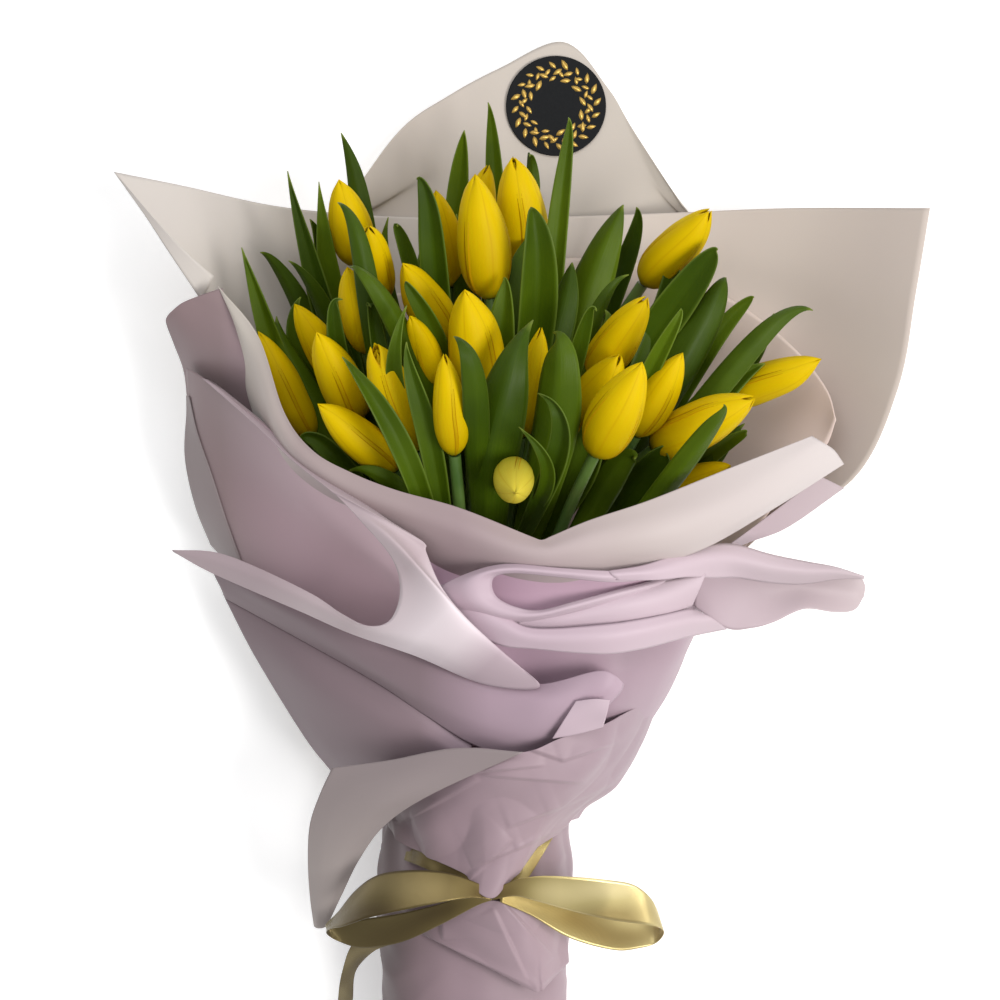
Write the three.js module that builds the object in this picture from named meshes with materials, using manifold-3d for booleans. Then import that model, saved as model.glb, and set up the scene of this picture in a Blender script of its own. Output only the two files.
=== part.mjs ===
// A hand-tied bunch of tulips in a paper wrap with a ribbon bow, lying on its back on a table.
//
// Each tulip is two solids: its closed bloom, and its stem with the leaves that grow from it. The wrap
// is five loosely folded sheets round the heads and a sleeve round the stems, and a round paper seal
// sticks to the sheet behind the heads. While it is modelled, +X is to the right of the bunch, +Y runs
// from the cut stems to the heads, and the table is z = 0. Millimetres. The finished group is shifted
// so that its origin is the middle of its underside.
import * as THREE from "three";
import { mergeVertices } from "three/addons/utils/BufferGeometryUtils.js";
import Module from "manifold-3d";

const wasm = await Module();
wasm.setup();

// Driving dimensions
const STEM_WIDE = 6;
const STEM_SIDES = 6;
const STEM_STEPS = 9;
const STEM_PITCH = 7.4; // centre to centre, where the bunch is tied
const STEM_ROWS = [3, 5, 5, 5, 5, 3]; // stems in each layer at the tie, from the table up
const CUT_END_Y = -66;
const TIE = new THREE.Vector3(-12, 62, 33);
const STEM_RUN = 90; // how far a stem keeps its direction above the tie and below its bloom
const LEAF_THICK = 1.2;
const LEAF_STEPS = 6;
const LEAF_PASS = 0.55; // the share of a leaf's curve at which it passes its middle point
const PAPER_THICK = 1;
const GAP = 0.4; // left between pieces that touch
const BLOOM_SIDES = 8;
const RIBBON_WIDE = 22;
const RIBBON_THICK = 1;
const SEAL_WIDE = 52;
const SEAL_THICK = 0.8;
const SEAL_PLACE = [28, 447, 2.4]; // its middle, just above the sheet that it sticks to
const KNOT = [-5, 55, 92];
const KNOT_ROUND = 6.5;
const POST = [7, 9, 19]; // the short block that carries the knot down to the band
// The band round the neck: its middle along y, how far it leans with height, its sides and its top.
const BAND = { y: 66, lean: -0.12, left: -62, right: 41, low: 0.2, high: 72.5 };
const NARROW = 0.7; // the band and the tail are folded to this share of the ribbon's width

const YELLOW = { color: 0xf2c800, roughness: 0.45, metalness: 0 };
const GREEN = { color: 0x3f6b22, roughness: 0.5, metalness: 0 };
const LILAC = { color: 0xcdb9cb, roughness: 0.6, metalness: 0 };
const GOLD = { color: 0xb99a3c, roughness: 0.35, metalness: 0.2 };
const BLACK = { color: 0x15171a, roughness: 0.4, metalness: 0 };

// The blooms: base x and y, tip x and y, height of the tip, length, greatest width.
const BLOOMS = [
  [-71, 369, -81, 411, 74, 52, 22],
  [-60, 351, -65, 385, 114, 55, 19],
  [-66, 324, -75, 364, 122, 52, 18],
  [-77, 307, -102, 347, 96, 54, 18],
  [-70, 291, -90, 332, 128, 58, 22],
  [-51, 265, -89, 297, 136, 56, 20],
  [-94, 281, -121, 334, 84, 62, 18],
  [-41, 274, -61, 325, 142, 60, 23],
  [-32, 307, -44, 340, 134, 50, 17],
  [-25, 328, -48, 367, 112, 58, 22],
  [-24, 359, -32, 404, 86, 56, 20],
  [-5, 351, -12, 411, 110, 66, 26],
  [-15, 375, -6, 419, 60, 50, 18],
  [14, 369, 7, 421, 86, 60, 25],
  [-8, 303, -17, 352, 142, 62, 27],
  [-22, 272, -27, 320, 166, 54, 17],
  [10, 281, 20, 334, 136, 58, 16],
  [6, 257, 7, 254, 176, 50, 21],
  [46, 310, 72, 350, 120, 56, 21],
  [72, 359, 105, 394, 92, 58, 22],
  [37, 286, 59, 321, 126, 54, 22],
  [46, 272, 68, 316, 164, 58, 25],
  [67, 282, 89, 322, 134, 54, 19],
  [76, 275, 124, 300, 126, 60, 24],
  [113, 301, 160, 320, 92, 56, 20],
  [84, 250, 114, 267, 110, 48, 20],
];

// The leaves: the tulip it grows from, the share of that stem at which it clasps it, a point that it
// passes, its tip, and its greatest width.
const LEAVES = [
  [0, 0.55, [-89, 347, 62], [-106, 414, 85], 12],
  [0, 0.6, [-82, 352, 54], [-91, 410, 70], 12],
  [1, 0.6, [-69, 387, 48], [-80, 435, 66], 11],
  [6, 0.5, [-107, 312, 72], [-129, 376, 84], 13],
  [6, 0.55, [-100, 340, 50], [-121, 375, 62], 11],
  [3, 0.6, [-85, 335, 72], [-105, 369, 92], 10],
  [2, 0.55, [-65, 356, 126], [-79, 395, 128], 11],
  [9, 0.5, [-52, 337, 134], [-73, 363, 138], 11],
  [3, 0.5, [-80, 322, 112], [-77, 348, 124], 9],
  [7, 0.6, [-60, 325, 116], [-63, 344, 128], 8],
  [15, 0.5, [-52, 281, 152], [-76, 319, 152], 11],
  [8, 0.55, [-48, 300, 136], [-45, 344, 150], 9],
  [15, 0.6, [-38, 287, 148], [-45, 326, 158], 11],
  [14, 0.5, [-13, 300, 164], [-22, 328, 168], 12],
  [16, 0.55, [-2, 290, 146], [16, 337, 144], 25],
  [16, 0.5, [28, 300, 148], [26, 331, 148], 22],
  [17, 0.5, [27, 275, 160], [18, 301, 166], 11],
  [17, 0.6, [21, 262, 150], [9, 285, 162], 7],
  [20, 0.5, [35, 320, 116], [47, 342, 130], 9],
  [13, 0.5, [17, 358, 106], [15, 394, 112], 19],
  [14, 0.6, [6, 342, 86], [18, 384, 74], 18],
  [18, 0.45, [31, 385, 82], [34, 440, 92], 10],
  [18, 0.5, [45, 352, 66], [62, 398, 74], 22],
  [19, 0.55, [62, 365, 46], [69, 398, 56], 10],
  [20, 0.6, [40, 328, 88], [64, 362, 92], 10],
  [19, 0.5, [88, 349, 84], [108, 374, 96], 18],
  [22, 0.5, [93, 326, 84], [113, 361, 80], 19],
  [24, 0.5, [107, 326, 60], [128, 352, 66], 10],
  [23, 0.5, [116, 318, 98], [155, 344, 96], 12],
  [25, 0.6, [107, 272, 90], [122, 283, 98], 8],
  [21, 0.5, [93, 270, 142], [108, 296, 150], 11],
  [22, 0.6, [76, 314, 128], [88, 343, 136], 9],
  [10, 0.6, [-20, 395, 48], [-18, 436, 66], 12],
  [12, 0.6, [-3, 405, 36], [-6, 451, 56], 9],
  [10, 0.5, [-33, 374, 98], [-41, 408, 108], 13],
  [9, 0.6, [-46, 364, 78], [-51, 386, 88], 8],
  [11, 0.6, [-36, 335, 126], [-46, 356, 136], 9],
  [5, 0.6, [-83, 271, 98], [-99, 278, 96], 10],
  [5, 0.55, [-52, 256, 122], [-75, 264, 118], 9],
  [4, 0.5, [-95, 300, 74], [-112, 342, 76], 13],
  [13, 0.6, [14, 400, 40], [15, 424, 54], 8],
  [25, 0.5, [70, 262, 100], [84, 274, 112], 16],
  [21, 0.6, [57, 262, 110], [66, 270, 122], 14],
  [1, 0.6, [-58, 345, 60], [-56, 392, 72], 14],
  [9, 0.5, [-38, 345, 70], [-32, 388, 74], 14],
  [7, 0.5, [-46, 305, 96], [-50, 342, 102], 14],
  [14, 0.5, [2, 322, 104], [2, 360, 106], 16],
  [16, 0.6, [26, 330, 92], [36, 368, 92], 17],
  [12, 0.6, [-18, 352, 62], [-22, 394, 66], 14],
  [22, 0.5, [78, 332, 74], [84, 372, 76], 17],
  [20, 0.5, [50, 306, 96], [52, 344, 100], 17],
  [24, 0.6, [116, 312, 62], [138, 344, 66], 13],
  [3, 0.5, [-94, 310, 66], [-100, 352, 72], 15],
  [4, 0.6, [-72, 302, 90], [-86, 338, 96], 14],
  [23, 0.6, [100, 292, 84], [132, 318, 88], 17],
  [25, 0.6, [94, 264, 84], [122, 288, 86], 15],
  [17, 0.5, [42, 272, 112], [50, 300, 118], 17],
  [17, 0.55, [-8, 268, 124], [-14, 296, 130], 15],
  [2, 0.5, [-84, 350, 50], [-96, 392, 58], 13],
];

// The sheets of the wrap: rows of points from the neck to the rim, each row from left to right.
const SHEETS = {
  back_sheet: [
    [[-58, 96, 28], [-47, 95, 9], [-28, 94, 0], [-12, 93, 0], [6, 94, 0], [24, 95, 8], [36, 96, 26]],
    [[-108, 150, 44], [-86, 150, 13], [-48, 150, 0], [-5, 150, 0], [36, 150, 0], [68, 150, 11], [90, 150, 38]],
    [[-148, 260, 50], [-116, 260, 13], [-62, 260, 0], [5, 260, 0], [62, 260, 0], [112, 260, 9], [150, 258, 34]],
    [[-142, 352, 46], [-106, 366, 9], [-52, 380, 0], [15, 386, 0], [70, 376, 0], [118, 362, 6], [156, 340, 26]],
    [[-124, 386, 34], [-71, 412, 5], [-30, 454, 0], [33, 485, 1], [66, 446, 0], [94, 400, 3], [142, 362, 18]],
  ],
  wide_sheet: [
    [[-53, 98, 34], [-42, 97, 15], [-26, 96, 6], [-12, 96, 5], [4, 96, 6], [19, 97, 14], [31, 98, 32]],
    [[-102, 150, 46], [-78, 150, 20], [-44, 150, 7], [-5, 150, 4], [32, 150, 7], [62, 150, 18], [84, 150, 42]],
    [[-141, 260, 64], [-108, 260, 24], [-58, 260, 8], [5, 260, 5], [62, 260, 8], [120, 258, 26], [176, 256, 78]],
    [[-148, 348, 74], [-110, 350, 28], [-60, 350, 8], [5, 350, 5], [72, 350, 8], [128, 350, 28], [207, 350, 92]],
    [[-191, 414, 96], [-148, 406, 58], [-68, 394, 10], [0, 393, 5], [70, 394, 8], [132, 397, 30], [215, 398, 90]],
  ],
  left_sheet: [
    [[-65, 98, 20], [-66, 98, 46], [-52, 99, 66], [-22, 100, 76], [2, 100, 75]],
    [[-86, 122, 14], [-94, 124, 48], [-70, 126, 82], [-22, 126, 98], [20, 124, 96]],
    [[-122, 165, 16], [-131, 168, 60], [-100, 170, 100], [-40, 174, 124], [22, 172, 128]],
    [[-150, 230, 20], [-158, 234, 66], [-132, 232, 106], [-66, 218, 136], [8, 212, 152]],
    [[-152, 312, 34], [-165, 336, 72], [-133, 338, 104], [-70, 260, 138], [12, 230, 158]],
  ],
  right_sheet: [
    [[40, 102, 36], [38, 102, 54], [26, 103, 72], [6, 104, 83], [-16, 104, 86]],
    [[62, 126, 44], [66, 126, 60], [54, 128, 84], [18, 130, 108], [-24, 128, 108]],
    [[88, 165, 56], [96, 166, 72], [86, 168, 100], [40, 174, 134], [-24, 170, 138]],
    [[116, 218, 58], [134, 222, 76], [124, 224, 104], [72, 218, 138], [4, 208, 160]],
    [[128, 275, 52], [156, 272, 76], [166, 274, 110], [100, 258, 142], [14, 230, 166]],
  ],
  front_sheet: [
    [[-30, 76, 80], [-18, 73, 85], [-6, 70, 88], [6, 72, 85], [20, 75, 80]],
    [[-62, 108, 96], [-38, 110, 110], [-8, 112, 118], [28, 110, 113], [57, 106, 97]],
    [[-70, 148, 124], [-30, 150, 142], [14, 152, 148], [56, 148, 130], [82, 142, 102]],
    [[-46, 184, 148], [8, 186, 164], [56, 186, 152], [92, 184, 126], [148, 188, 108]],
    [[-32, 204, 156], [20, 212, 168], [66, 216, 156], [108, 225, 130], [182, 211, 108]],
  ],
  flap: [
    [[-92, 38, 44], [-89, 39, 45], [-86, 41, 46]],
    [[-95, 66, 58], [-85, 66, 60], [-75, 65, 61]],
    [[-96, 90, 72], [-78, 88, 78], [-60, 84, 82]],
    [[-84, 116, 88], [-50, 118, 107], [-14, 114, 120]],
  ],
};
const SHEET_ROWS = 8;
const SHEET_COLUMNS = 10;

// The sleeve round the stems: y, left side, right side and height of each section.
const SLEEVE = [
  [-50, -57, 33, 66],
  [-10, -57, 32, 65],
  [30, -58, 34, 67],
  [60, -59, 38, 70],
  [90, -56, 32, 68],
];
const SLEEVE_SIDES = 16;
const SLEEVE_FLOOR = 2;

const vec = (x, y, z) => new THREE.Vector3(x, y, z);
const blend = (a, b, share) => a + (b - a) * share;

// A closed three.js geometry as a manifold-3d solid, facing out.
function solid(geometry) {
  geometry.deleteAttribute("normal");
  geometry.deleteAttribute("uv");
  const merged = mergeVertices(geometry, 1e-4);
  const triVerts = new Uint32Array(merged.index.array);
  const vertProperties = new Float32Array(merged.attributes.position.array);
  const made = new wasm.Manifold(new wasm.Mesh({ numProp: 3, vertProperties, triVerts }));
  if (made.volume() > 0) return made;
  for (let i = 0; i < triVerts.length; i += 3) {
    [triVerts[i + 1], triVerts[i + 2]] = [triVerts[i + 2], triVerts[i + 1]];
  }
  return new wasm.Manifold(new wasm.Mesh({ numProp: 3, vertProperties, triVerts }));
}

const joined = (bodies) => wasm.Manifold.union(bodies);
const largest = (body) => body.decompose().sort((a, b) => b.volume() - a.volume())[0];

// A solid as a named mesh with its material.
function node(name, body, look) {
  const mesh = body.getMesh();
  const geometry = new THREE.BufferGeometry();
  const corners = new Float32Array(mesh.numVert * 3);
  for (let i = 0; i < mesh.numVert; i += 1) {
    corners.set(mesh.vertProperties.subarray(i * mesh.numProp, i * mesh.numProp + 3), i * 3);
  }
  geometry.setAttribute("position", new THREE.BufferAttribute(corners, 3));
  geometry.setIndex(new THREE.BufferAttribute(new Uint32Array(mesh.triVerts), 1));
  geometry.computeVertexNormals();
  const made = new THREE.Mesh(geometry, new THREE.MeshStandardMaterial(look));
  made.name = name;
  return made;
}

// A closed body through rings of points that all have the same even count, with its two ends filled.
function loft(rings) {
  const corners = [];
  const faces = [];
  const count = rings[0].length;
  rings.forEach((ring) => ring.forEach((p) => corners.push(p.x, p.y, p.z)));
  for (let r = 0; r + 1 < rings.length; r += 1) {
    for (let i = 0; i < count; i += 1) {
      const a = r * count + i;
      const b = r * count + ((i + 1) % count);
      faces.push(a, b, b + count, a, b + count, a + count);
    }
  }
  const last = (rings.length - 1) * count;
  for (let i = 0; i < count / 2 - 1; i += 1) {
    const end = count - 1 - i;
    faces.push(i, end, end - 1, i, end - 1, i + 1);
    faces.push(last + i, last + end - 1, last + end, last + i, last + i + 1, last + end - 1);
  }
  const geometry = new THREE.BufferGeometry();
  geometry.setAttribute("position", new THREE.Float32BufferAttribute(corners, 3));
  geometry.setIndex(faces);
  return solid(geometry);
}

// Blooms: where each one's base and tip are, and its closed bud shape.
function bloomAxis([baseX, baseY, tipX, tipY, tipZ, long]) {
  const tip = vec(tipX, tipY, tipZ);
  const across = Math.hypot(tipX - baseX, tipY - baseY);
  const drop = Math.sqrt(Math.max(0, long * long - across * across));
  const base = vec(baseX, baseY, tipZ - drop);
  return { base, tip, along: tip.clone().sub(base).normalize() };
}

function bloomSolid(row, grow) {
  const { base, tip, along } = bloomAxis(row);
  const wide = row[6] / 2;
  const long = base.distanceTo(tip);
  const bud = [[0.012, 0.3], [0.1, 0.74], [0.34, 1], [0.62, 0.86], [0.86, 0.46]];
  const outline = bud.map(([up, out]) => new THREE.Vector2(out * wide + grow, up * long));
  outline[0].y -= grow;
  const profile = [new THREE.Vector2(0, outline[0].y), ...outline, new THREE.Vector2(0, long + grow)];
  const geometry = new THREE.LatheGeometry(profile, BLOOM_SIDES);
  geometry.applyQuaternion(new THREE.Quaternion().setFromUnitVectors(vec(0, 1, 0), along));
  geometry.translate(base.x, base.y, base.z);
  return solid(geometry);
}

// Stems: the bunch is tied in layers, so the lowest blooms have the lowest places at the tie.
function tiePlaces(axes) {
  const order = axes.map((axis, i) => i).sort((a, b) => axes[a].base.z - axes[b].base.z);
  const places = [];
  let taken = 0;
  STEM_ROWS.forEach((count, layer) => {
    const inLayer = order.slice(taken, taken + count).sort((a, b) => axes[a].base.x - axes[b].base.x);
    taken += count;
    inLayer.forEach((tulip, i) => {
      const x = TIE.x + (i - (count - 1) / 2 + (layer % 2 ? 0.25 : -0.25)) * STEM_PITCH;
      const z = TIE.z + (layer - (STEM_ROWS.length - 1) / 2) * STEM_PITCH * 0.87;
      places[tulip] = vec(x, TIE.y, z);
    });
  });
  return places;
}

function stemPath({ base, along }, tie) {
  const rise = new THREE.CubicBezierCurve3(
    tie,
    tie.clone().add(vec(0, STEM_RUN, 0)),
    base.clone().addScaledVector(along, -STEM_RUN * 0.7),
    base,
  );
  const cut = vec(blend(TIE.x, tie.x, 1.15), CUT_END_Y, blend(TIE.z, tie.z, 1.15));
  return { rise, whole: new THREE.CatmullRomCurve3([cut, ...rise.getPoints(6)]) };
}

function stemSolid(path, grow) {
  const section = new THREE.Shape();
  for (let i = 0; i < STEM_SIDES; i += 1) {
    const turn = (i / STEM_SIDES) * 2 * Math.PI;
    const reach = STEM_WIDE / 2 + grow;
    const corner = [reach * Math.cos(turn), reach * Math.sin(turn)];
    if (i) section.lineTo(...corner);
    else section.moveTo(...corner);
  }
  section.closePath();
  const shape = { steps: STEM_STEPS, bevelEnabled: false, extrudePath: path.whole };
  return solid(new THREE.ExtrudeGeometry(section, shape));
}

// Leaves: a thin pointed blade along a curve from its stem, through a point, to its tip.
function leafWidth(share) {
  const full = 0.42;
  if (share < full) return blend(0.4, 1, Math.sin((share / full) * (Math.PI / 2)));
  return 1 - Math.pow((share - full) / (1 - full), 1.8);
}

function leafSolid([tulip, up, through, tip, wide], paths, grow) {
  const root = paths[tulip].rise.getPoint(up);
  const middle = vec(...through);
  const end = vec(...tip);
  const pull = middle
    .addScaledVector(root, -((1 - LEAF_PASS) ** 2))
    .addScaledVector(end, -(LEAF_PASS ** 2))
    .divideScalar(2 * LEAF_PASS * (1 - LEAF_PASS));
  const spine = new THREE.QuadraticBezierCurve3(root, pull, end);
  const rings = [];
  for (let i = 0; i <= LEAF_STEPS; i += 1) {
    const share = Math.min(i / LEAF_STEPS, 0.985);
    const along = spine.getTangent(share);
    const across = vec(0, 0, 1).cross(along).normalize();
    const out = along.clone().cross(across).normalize();
    const half = (leafWidth(share) * wide) / 2 + grow;
    const thick = LEAF_THICK / 2 + grow;
    const centre = spine.getPoint(share);
    rings.push([
      centre.clone().addScaledVector(across, half),
      centre.clone().addScaledVector(out, thick),
      centre.clone().addScaledVector(across, -half),
      centre.clone().addScaledVector(out, -thick),
    ]);
  }
  return loft(rings);
}

// Sheets: a smooth surface through rows of points, given its thickness on the inner side.
function surfacePoints(rows, down, across) {
  const lines = rows.map((row) => new THREE.CatmullRomCurve3(row.map((p) => vec(...p)), false, "catmullrom"));
  const grid = [];
  for (let i = 0; i <= across; i += 1) {
    const column = new THREE.CatmullRomCurve3(lines.map((line) => line.getPoint(i / across)), false, "catmullrom");
    for (let j = 0; j <= down; j += 1) {
      (grid[j] ??= [])[i] = column.getPoint(j / down);
    }
  }
  return grid;
}

function sheetSolid(rows, grow) {
  const grid = surfacePoints(rows, SHEET_ROWS, SHEET_COLUMNS);
  const rings = grid.map((line, j) => {
    const above = grid[Math.min(j + 1, SHEET_ROWS)];
    const below = grid[Math.max(j - 1, 0)];
    const outer = [];
    const inner = [];
    line.forEach((p, i) => {
      const right = line[Math.min(i + 1, SHEET_COLUMNS)].clone().sub(line[Math.max(i - 1, 0)]);
      const up = above[i].clone().sub(below[i]);
      const normal = right.cross(up).normalize();
      outer.push(p.clone().addScaledVector(normal, -grow));
      inner.push(p.clone().addScaledVector(normal, PAPER_THICK + grow));
    });
    return [...outer, ...inner.reverse()];
  });
  rings.forEach((ring) => ring.forEach((p) => (p.z = Math.max(p.z, 0))));
  return loft(rings);
}

// The sleeve: a soft tube with a flat underside, open at both ends.
function sleeveRing([y, left, right, high], inset) {
  const middle = (left + right) / 2;
  const half = (right - left) / 2 - inset;
  const tall = (high - SLEEVE_FLOOR) / 2 - inset;
  const ring = [];
  for (let i = 0; i < SLEEVE_SIDES; i += 1) {
    const turn = ((i + 0.5) / SLEEVE_SIDES) * 2 * Math.PI;
    const round = (value) => Math.sign(value) * Math.pow(Math.abs(value), 0.8);
    const z = SLEEVE_FLOOR + inset + tall * (1 + round(Math.sin(turn)));
    ring.push(vec(middle + half * round(Math.cos(turn)), y, z));
  }
  return ring;
}

function sleeveSolid(grow) {
  const hollow = SLEEVE.map((row) => sleeveRing(row, PAPER_THICK + grow));
  hollow[0].forEach((p) => (p.y -= 1));
  hollow.at(-1).forEach((p) => (p.y += 1));
  return loft(SLEEVE.map((row) => sleeveRing(row, -grow))).subtract(loft(hollow));
}

// The ribbon: flat strips along their middle lines, joined at the knot.
function strip(points, faces, wide) {
  const line = new THREE.CatmullRomCurve3(points.map((p) => vec(...p)));
  const turn = new THREE.CatmullRomCurve3(faces.map((p) => vec(...p)));
  const steps = points.length + 3;
  const rings = [];
  for (let i = 0; i <= steps; i += 1) {
    const centre = line.getPoint(i / steps);
    const across = turn.getPoint(i / steps).normalize();
    const out = line.getTangent(i / steps).cross(across).normalize();
    const half = across.multiplyScalar(wide / 2);
    const thick = out.multiplyScalar(RIBBON_THICK / 2);
    rings.push([
      centre.clone().add(half).add(thick),
      centre.clone().sub(half).add(thick),
      centre.clone().sub(half).sub(thick),
      centre.clone().add(half).sub(thick),
    ]);
  }
  return loft(rings);
}

function bandSolid() {
  const rings = [];
  for (const edge of [-0.5, 0.5]) {
    for (const skin of [0, RIBBON_THICK]) {
      const ring = sleeveRing([BAND.y, BAND.left + skin, BAND.right - skin, BAND.high - skin], 0);
      ring.forEach((p) => {
        p.z = Math.max(BAND.low + skin, p.z + BAND.low - SLEEVE_FLOOR + skin);
        p.y += edge * RIBBON_WIDE * NARROW + BAND.lean * p.z;
      });
      rings.push(ring);
    }
  }
  const [outerLow, innerLow, outerHigh, innerHigh] = rings;
  const shift = (ring, by) => ring.map((p) => vec(p.x, p.y + by, p.z));
  return loft([outerLow, outerHigh]).subtract(loft([shift(innerLow, -1), shift(innerHigh, 1)]));
}

function ribbonSolid() {
  const [x, y, z] = KNOT;
  const knot = solid(new THREE.SphereGeometry(KNOT_ROUND, 10, 8).scale(1, 0.9, 0.8).translate(x, y, z));
  const post = solid(new THREE.BoxGeometry(...POST).translate(x, y, z - 1 - POST[2] / 2));
  const left = strip(
    [[x, y, z], [-34, 62, 96], [-66, 52, 88], [-84, 36, 72], [-66, 38, 70], [-36, 46, 80], [x, y, z - 1]],
    [[0, 1, 0.4], [0, 1, 0.5], [0.2, 1, 0.5], [0.3, 1, 0.3], [0.2, 1, -0.2], [0.1, 1, -0.2], [0, 1, 0]],
    RIBBON_WIDE,
  );
  const right = strip(
    [[x, y, z], [28, 56, 98], [60, 50, 90], [80, 40, 74], [60, 34, 72], [28, 42, 80], [x, y, z - 1]],
    [[0, 1, 0.4], [0, 1, 0.5], [-0.2, 1, 0.5], [-0.3, 1, 0.3], [-0.2, 1, -0.2], [-0.1, 1, -0.2], [0, 1, 0]],
    RIBBON_WIDE,
  );
  const tail = strip(
    [[x, y, z - 2], [-40, 42, 78], [-68, 20, 58], [-76, -12, 24], [-74, -40, 4]],
    [[0, 1, 0], [0.4, 1, 0.2], [1, 0.5, 0.3], [1, 0, 0.2], [1, 0.1, 0]],
    RIBBON_WIDE * NARROW,
  );
  return largest(joined([knot, post, left, right, tail, bandSolid()]));
}

// Everything is made once at its own size, and once grown by the gap that its neighbours keep to it.
const axes = BLOOMS.map(bloomAxis);
const places = tiePlaces(axes);
const paths = axes.map((axis, i) => stemPath(axis, places[i]));
const { flap, ...flat } = SHEETS;
const sheets = Object.entries(flat).map(([name, rows]) => ({
  name,
  body: name === "front_sheet" ? sheetSolid(rows, 0).add(sheetSolid(flap, 0)) : sheetSolid(rows, 0),
}));
const paperRoom = joined([...Object.values(SHEETS).map((rows) => sheetSolid(rows, GAP)), sleeveSolid(GAP)]);
const bloomRooms = BLOOMS.map((row) => bloomSolid(row, GAP));
const stemRooms = paths.map((path) => stemSolid(path, GAP));
const leavesOf = (tulip, grow) =>
  joined(LEAVES.filter((leaf) => leaf[0] === tulip).map((leaf) => leafSolid(leaf, paths, grow)));

const bunch = new THREE.Group();
const number = (i) => String(i + 1).padStart(2, "0");
const others = (bodies, i) => bodies.filter((body, j) => j !== i);

BLOOMS.forEach((row, i) => bunch.add(node(`tulip_${number(i)}_bloom`, bloomSolid(row, 0), YELLOW)));

const leafRooms = [];
BLOOMS.forEach((row, i) => {
  const leaves = leavesOf(i, 0).subtract(joined([paperRoom, ...others(stemRooms, i), ...leafRooms]));
  const stem = stemSolid(paths[i], 0).subtract(joined([...stemRooms.slice(0, i), paperRoom]));
  const green = stem.add(leaves).subtract(joined(bloomRooms));
  bunch.add(node(`tulip_${number(i)}_stem_and_leaves`, largest(green), GREEN));
  leafRooms.push(leavesOf(i, GAP));
});

sheets.forEach(({ name, body }) => bunch.add(node(name, body, LILAC)));
bunch.add(node("stem_sleeve", sleeveSolid(0), LILAC));
bunch.add(node("ribbon_bow", ribbonSolid(), GOLD));

const seal = new THREE.CylinderGeometry(SEAL_WIDE / 2, SEAL_WIDE / 2, SEAL_THICK, 32);
seal.rotateX(Math.PI / 2).translate(...SEAL_PLACE);
bunch.add(node("round_seal", solid(seal), BLACK));

// The origin is the middle of the underside.
const box = new THREE.Box3().setFromObject(bunch);
const middle = box.getCenter(new THREE.Vector3());
bunch.position.set(-middle.x, -middle.y, -box.min.z);

export default bunch;
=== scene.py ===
# %% [markdown]
# # A hand-tied bunch of tulips, lying in its wrap
# The bunch is twenty-six closed tulips with their leaves, a few loosely folded sheets of matte florist
# film, a satin ribbon and a round seal. It lies on its back on a pale table, heads away from you, and the
# camera looks straight down on it. Each cell below makes one kind of piece, says what it is on the real
# bunch, and prints what it made.

# %% Load the frame
import math
import random

import bpy
import bmesh
import numpy as np
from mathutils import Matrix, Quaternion, Vector, noise


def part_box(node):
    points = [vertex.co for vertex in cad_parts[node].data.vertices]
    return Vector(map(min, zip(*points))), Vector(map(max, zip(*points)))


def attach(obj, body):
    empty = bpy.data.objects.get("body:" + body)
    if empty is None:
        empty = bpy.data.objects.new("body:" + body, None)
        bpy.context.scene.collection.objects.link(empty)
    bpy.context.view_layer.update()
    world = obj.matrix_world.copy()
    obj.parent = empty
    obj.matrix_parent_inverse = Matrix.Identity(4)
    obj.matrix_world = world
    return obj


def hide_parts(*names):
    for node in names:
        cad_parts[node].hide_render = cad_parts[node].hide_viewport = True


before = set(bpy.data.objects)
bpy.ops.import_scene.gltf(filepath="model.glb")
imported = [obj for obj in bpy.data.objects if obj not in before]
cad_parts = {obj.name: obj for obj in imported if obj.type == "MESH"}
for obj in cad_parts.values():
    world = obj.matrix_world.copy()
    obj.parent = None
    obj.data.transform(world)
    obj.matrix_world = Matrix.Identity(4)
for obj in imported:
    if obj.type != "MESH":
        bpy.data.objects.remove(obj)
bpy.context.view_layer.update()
BODY = "root"

# %% [markdown]
# ## One drawing for every piece
# All the points below are in the maker's drawing: millimetres, x to the right, y from the stems
# to the heads, z up from the table. The frame has its origin under the middle of the whole bunch, so one
# known piece, the round seal, tells how far the drawing has to be moved.

# %% From the drawing to the frame
MM = 0.001
SEAL_PLACE = (28.0, 447.0)
SEAL_LOW, SEAL_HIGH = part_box("round_seal")
SHIFT = np.array([
    (SEAL_LOW.x + SEAL_HIGH.x) / 2 - SEAL_PLACE[0] * MM,
    (SEAL_LOW.y + SEAL_HIGH.y) / 2 - SEAL_PLACE[1] * MM,
    0.0,
])


def placed(points):
    """Points of the drawing as points of the frame, in metres."""
    return np.asarray(points, float) * MM + SHIFT


print("the drawing is moved by", np.round(SHIFT, 4))

# %% [markdown]
# ## Camera, light and table
# A bunch that lies on a table is looked at from straight above. A long lens from two metres keeps the
# outline flat. The light is soft and comes mostly from the right, so the folds
# that face left fall into a mauve shade, and the film materials paint more shade and light into their
# colour.

# %% Camera
VIEW_HEIGHT = 2.0
VIEW_WIDE = 0.5
VIEW_LEVEL = 80 * MM
VIEW_CENTRE = (0.0, 250.0)
camera_data = bpy.data.cameras.new("camera")
camera = bpy.data.objects.new("camera", camera_data)
bpy.context.scene.collection.objects.link(camera)
camera.location = Vector(placed((*VIEW_CENTRE, 0))) + Vector((0, 0, VIEW_LEVEL + VIEW_HEIGHT))
camera_data.lens = camera_data.sensor_width * VIEW_HEIGHT / VIEW_WIDE
camera_data.clip_end = 50
bpy.context.scene.camera = camera
print("lens", round(camera_data.lens), "mm")

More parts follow.
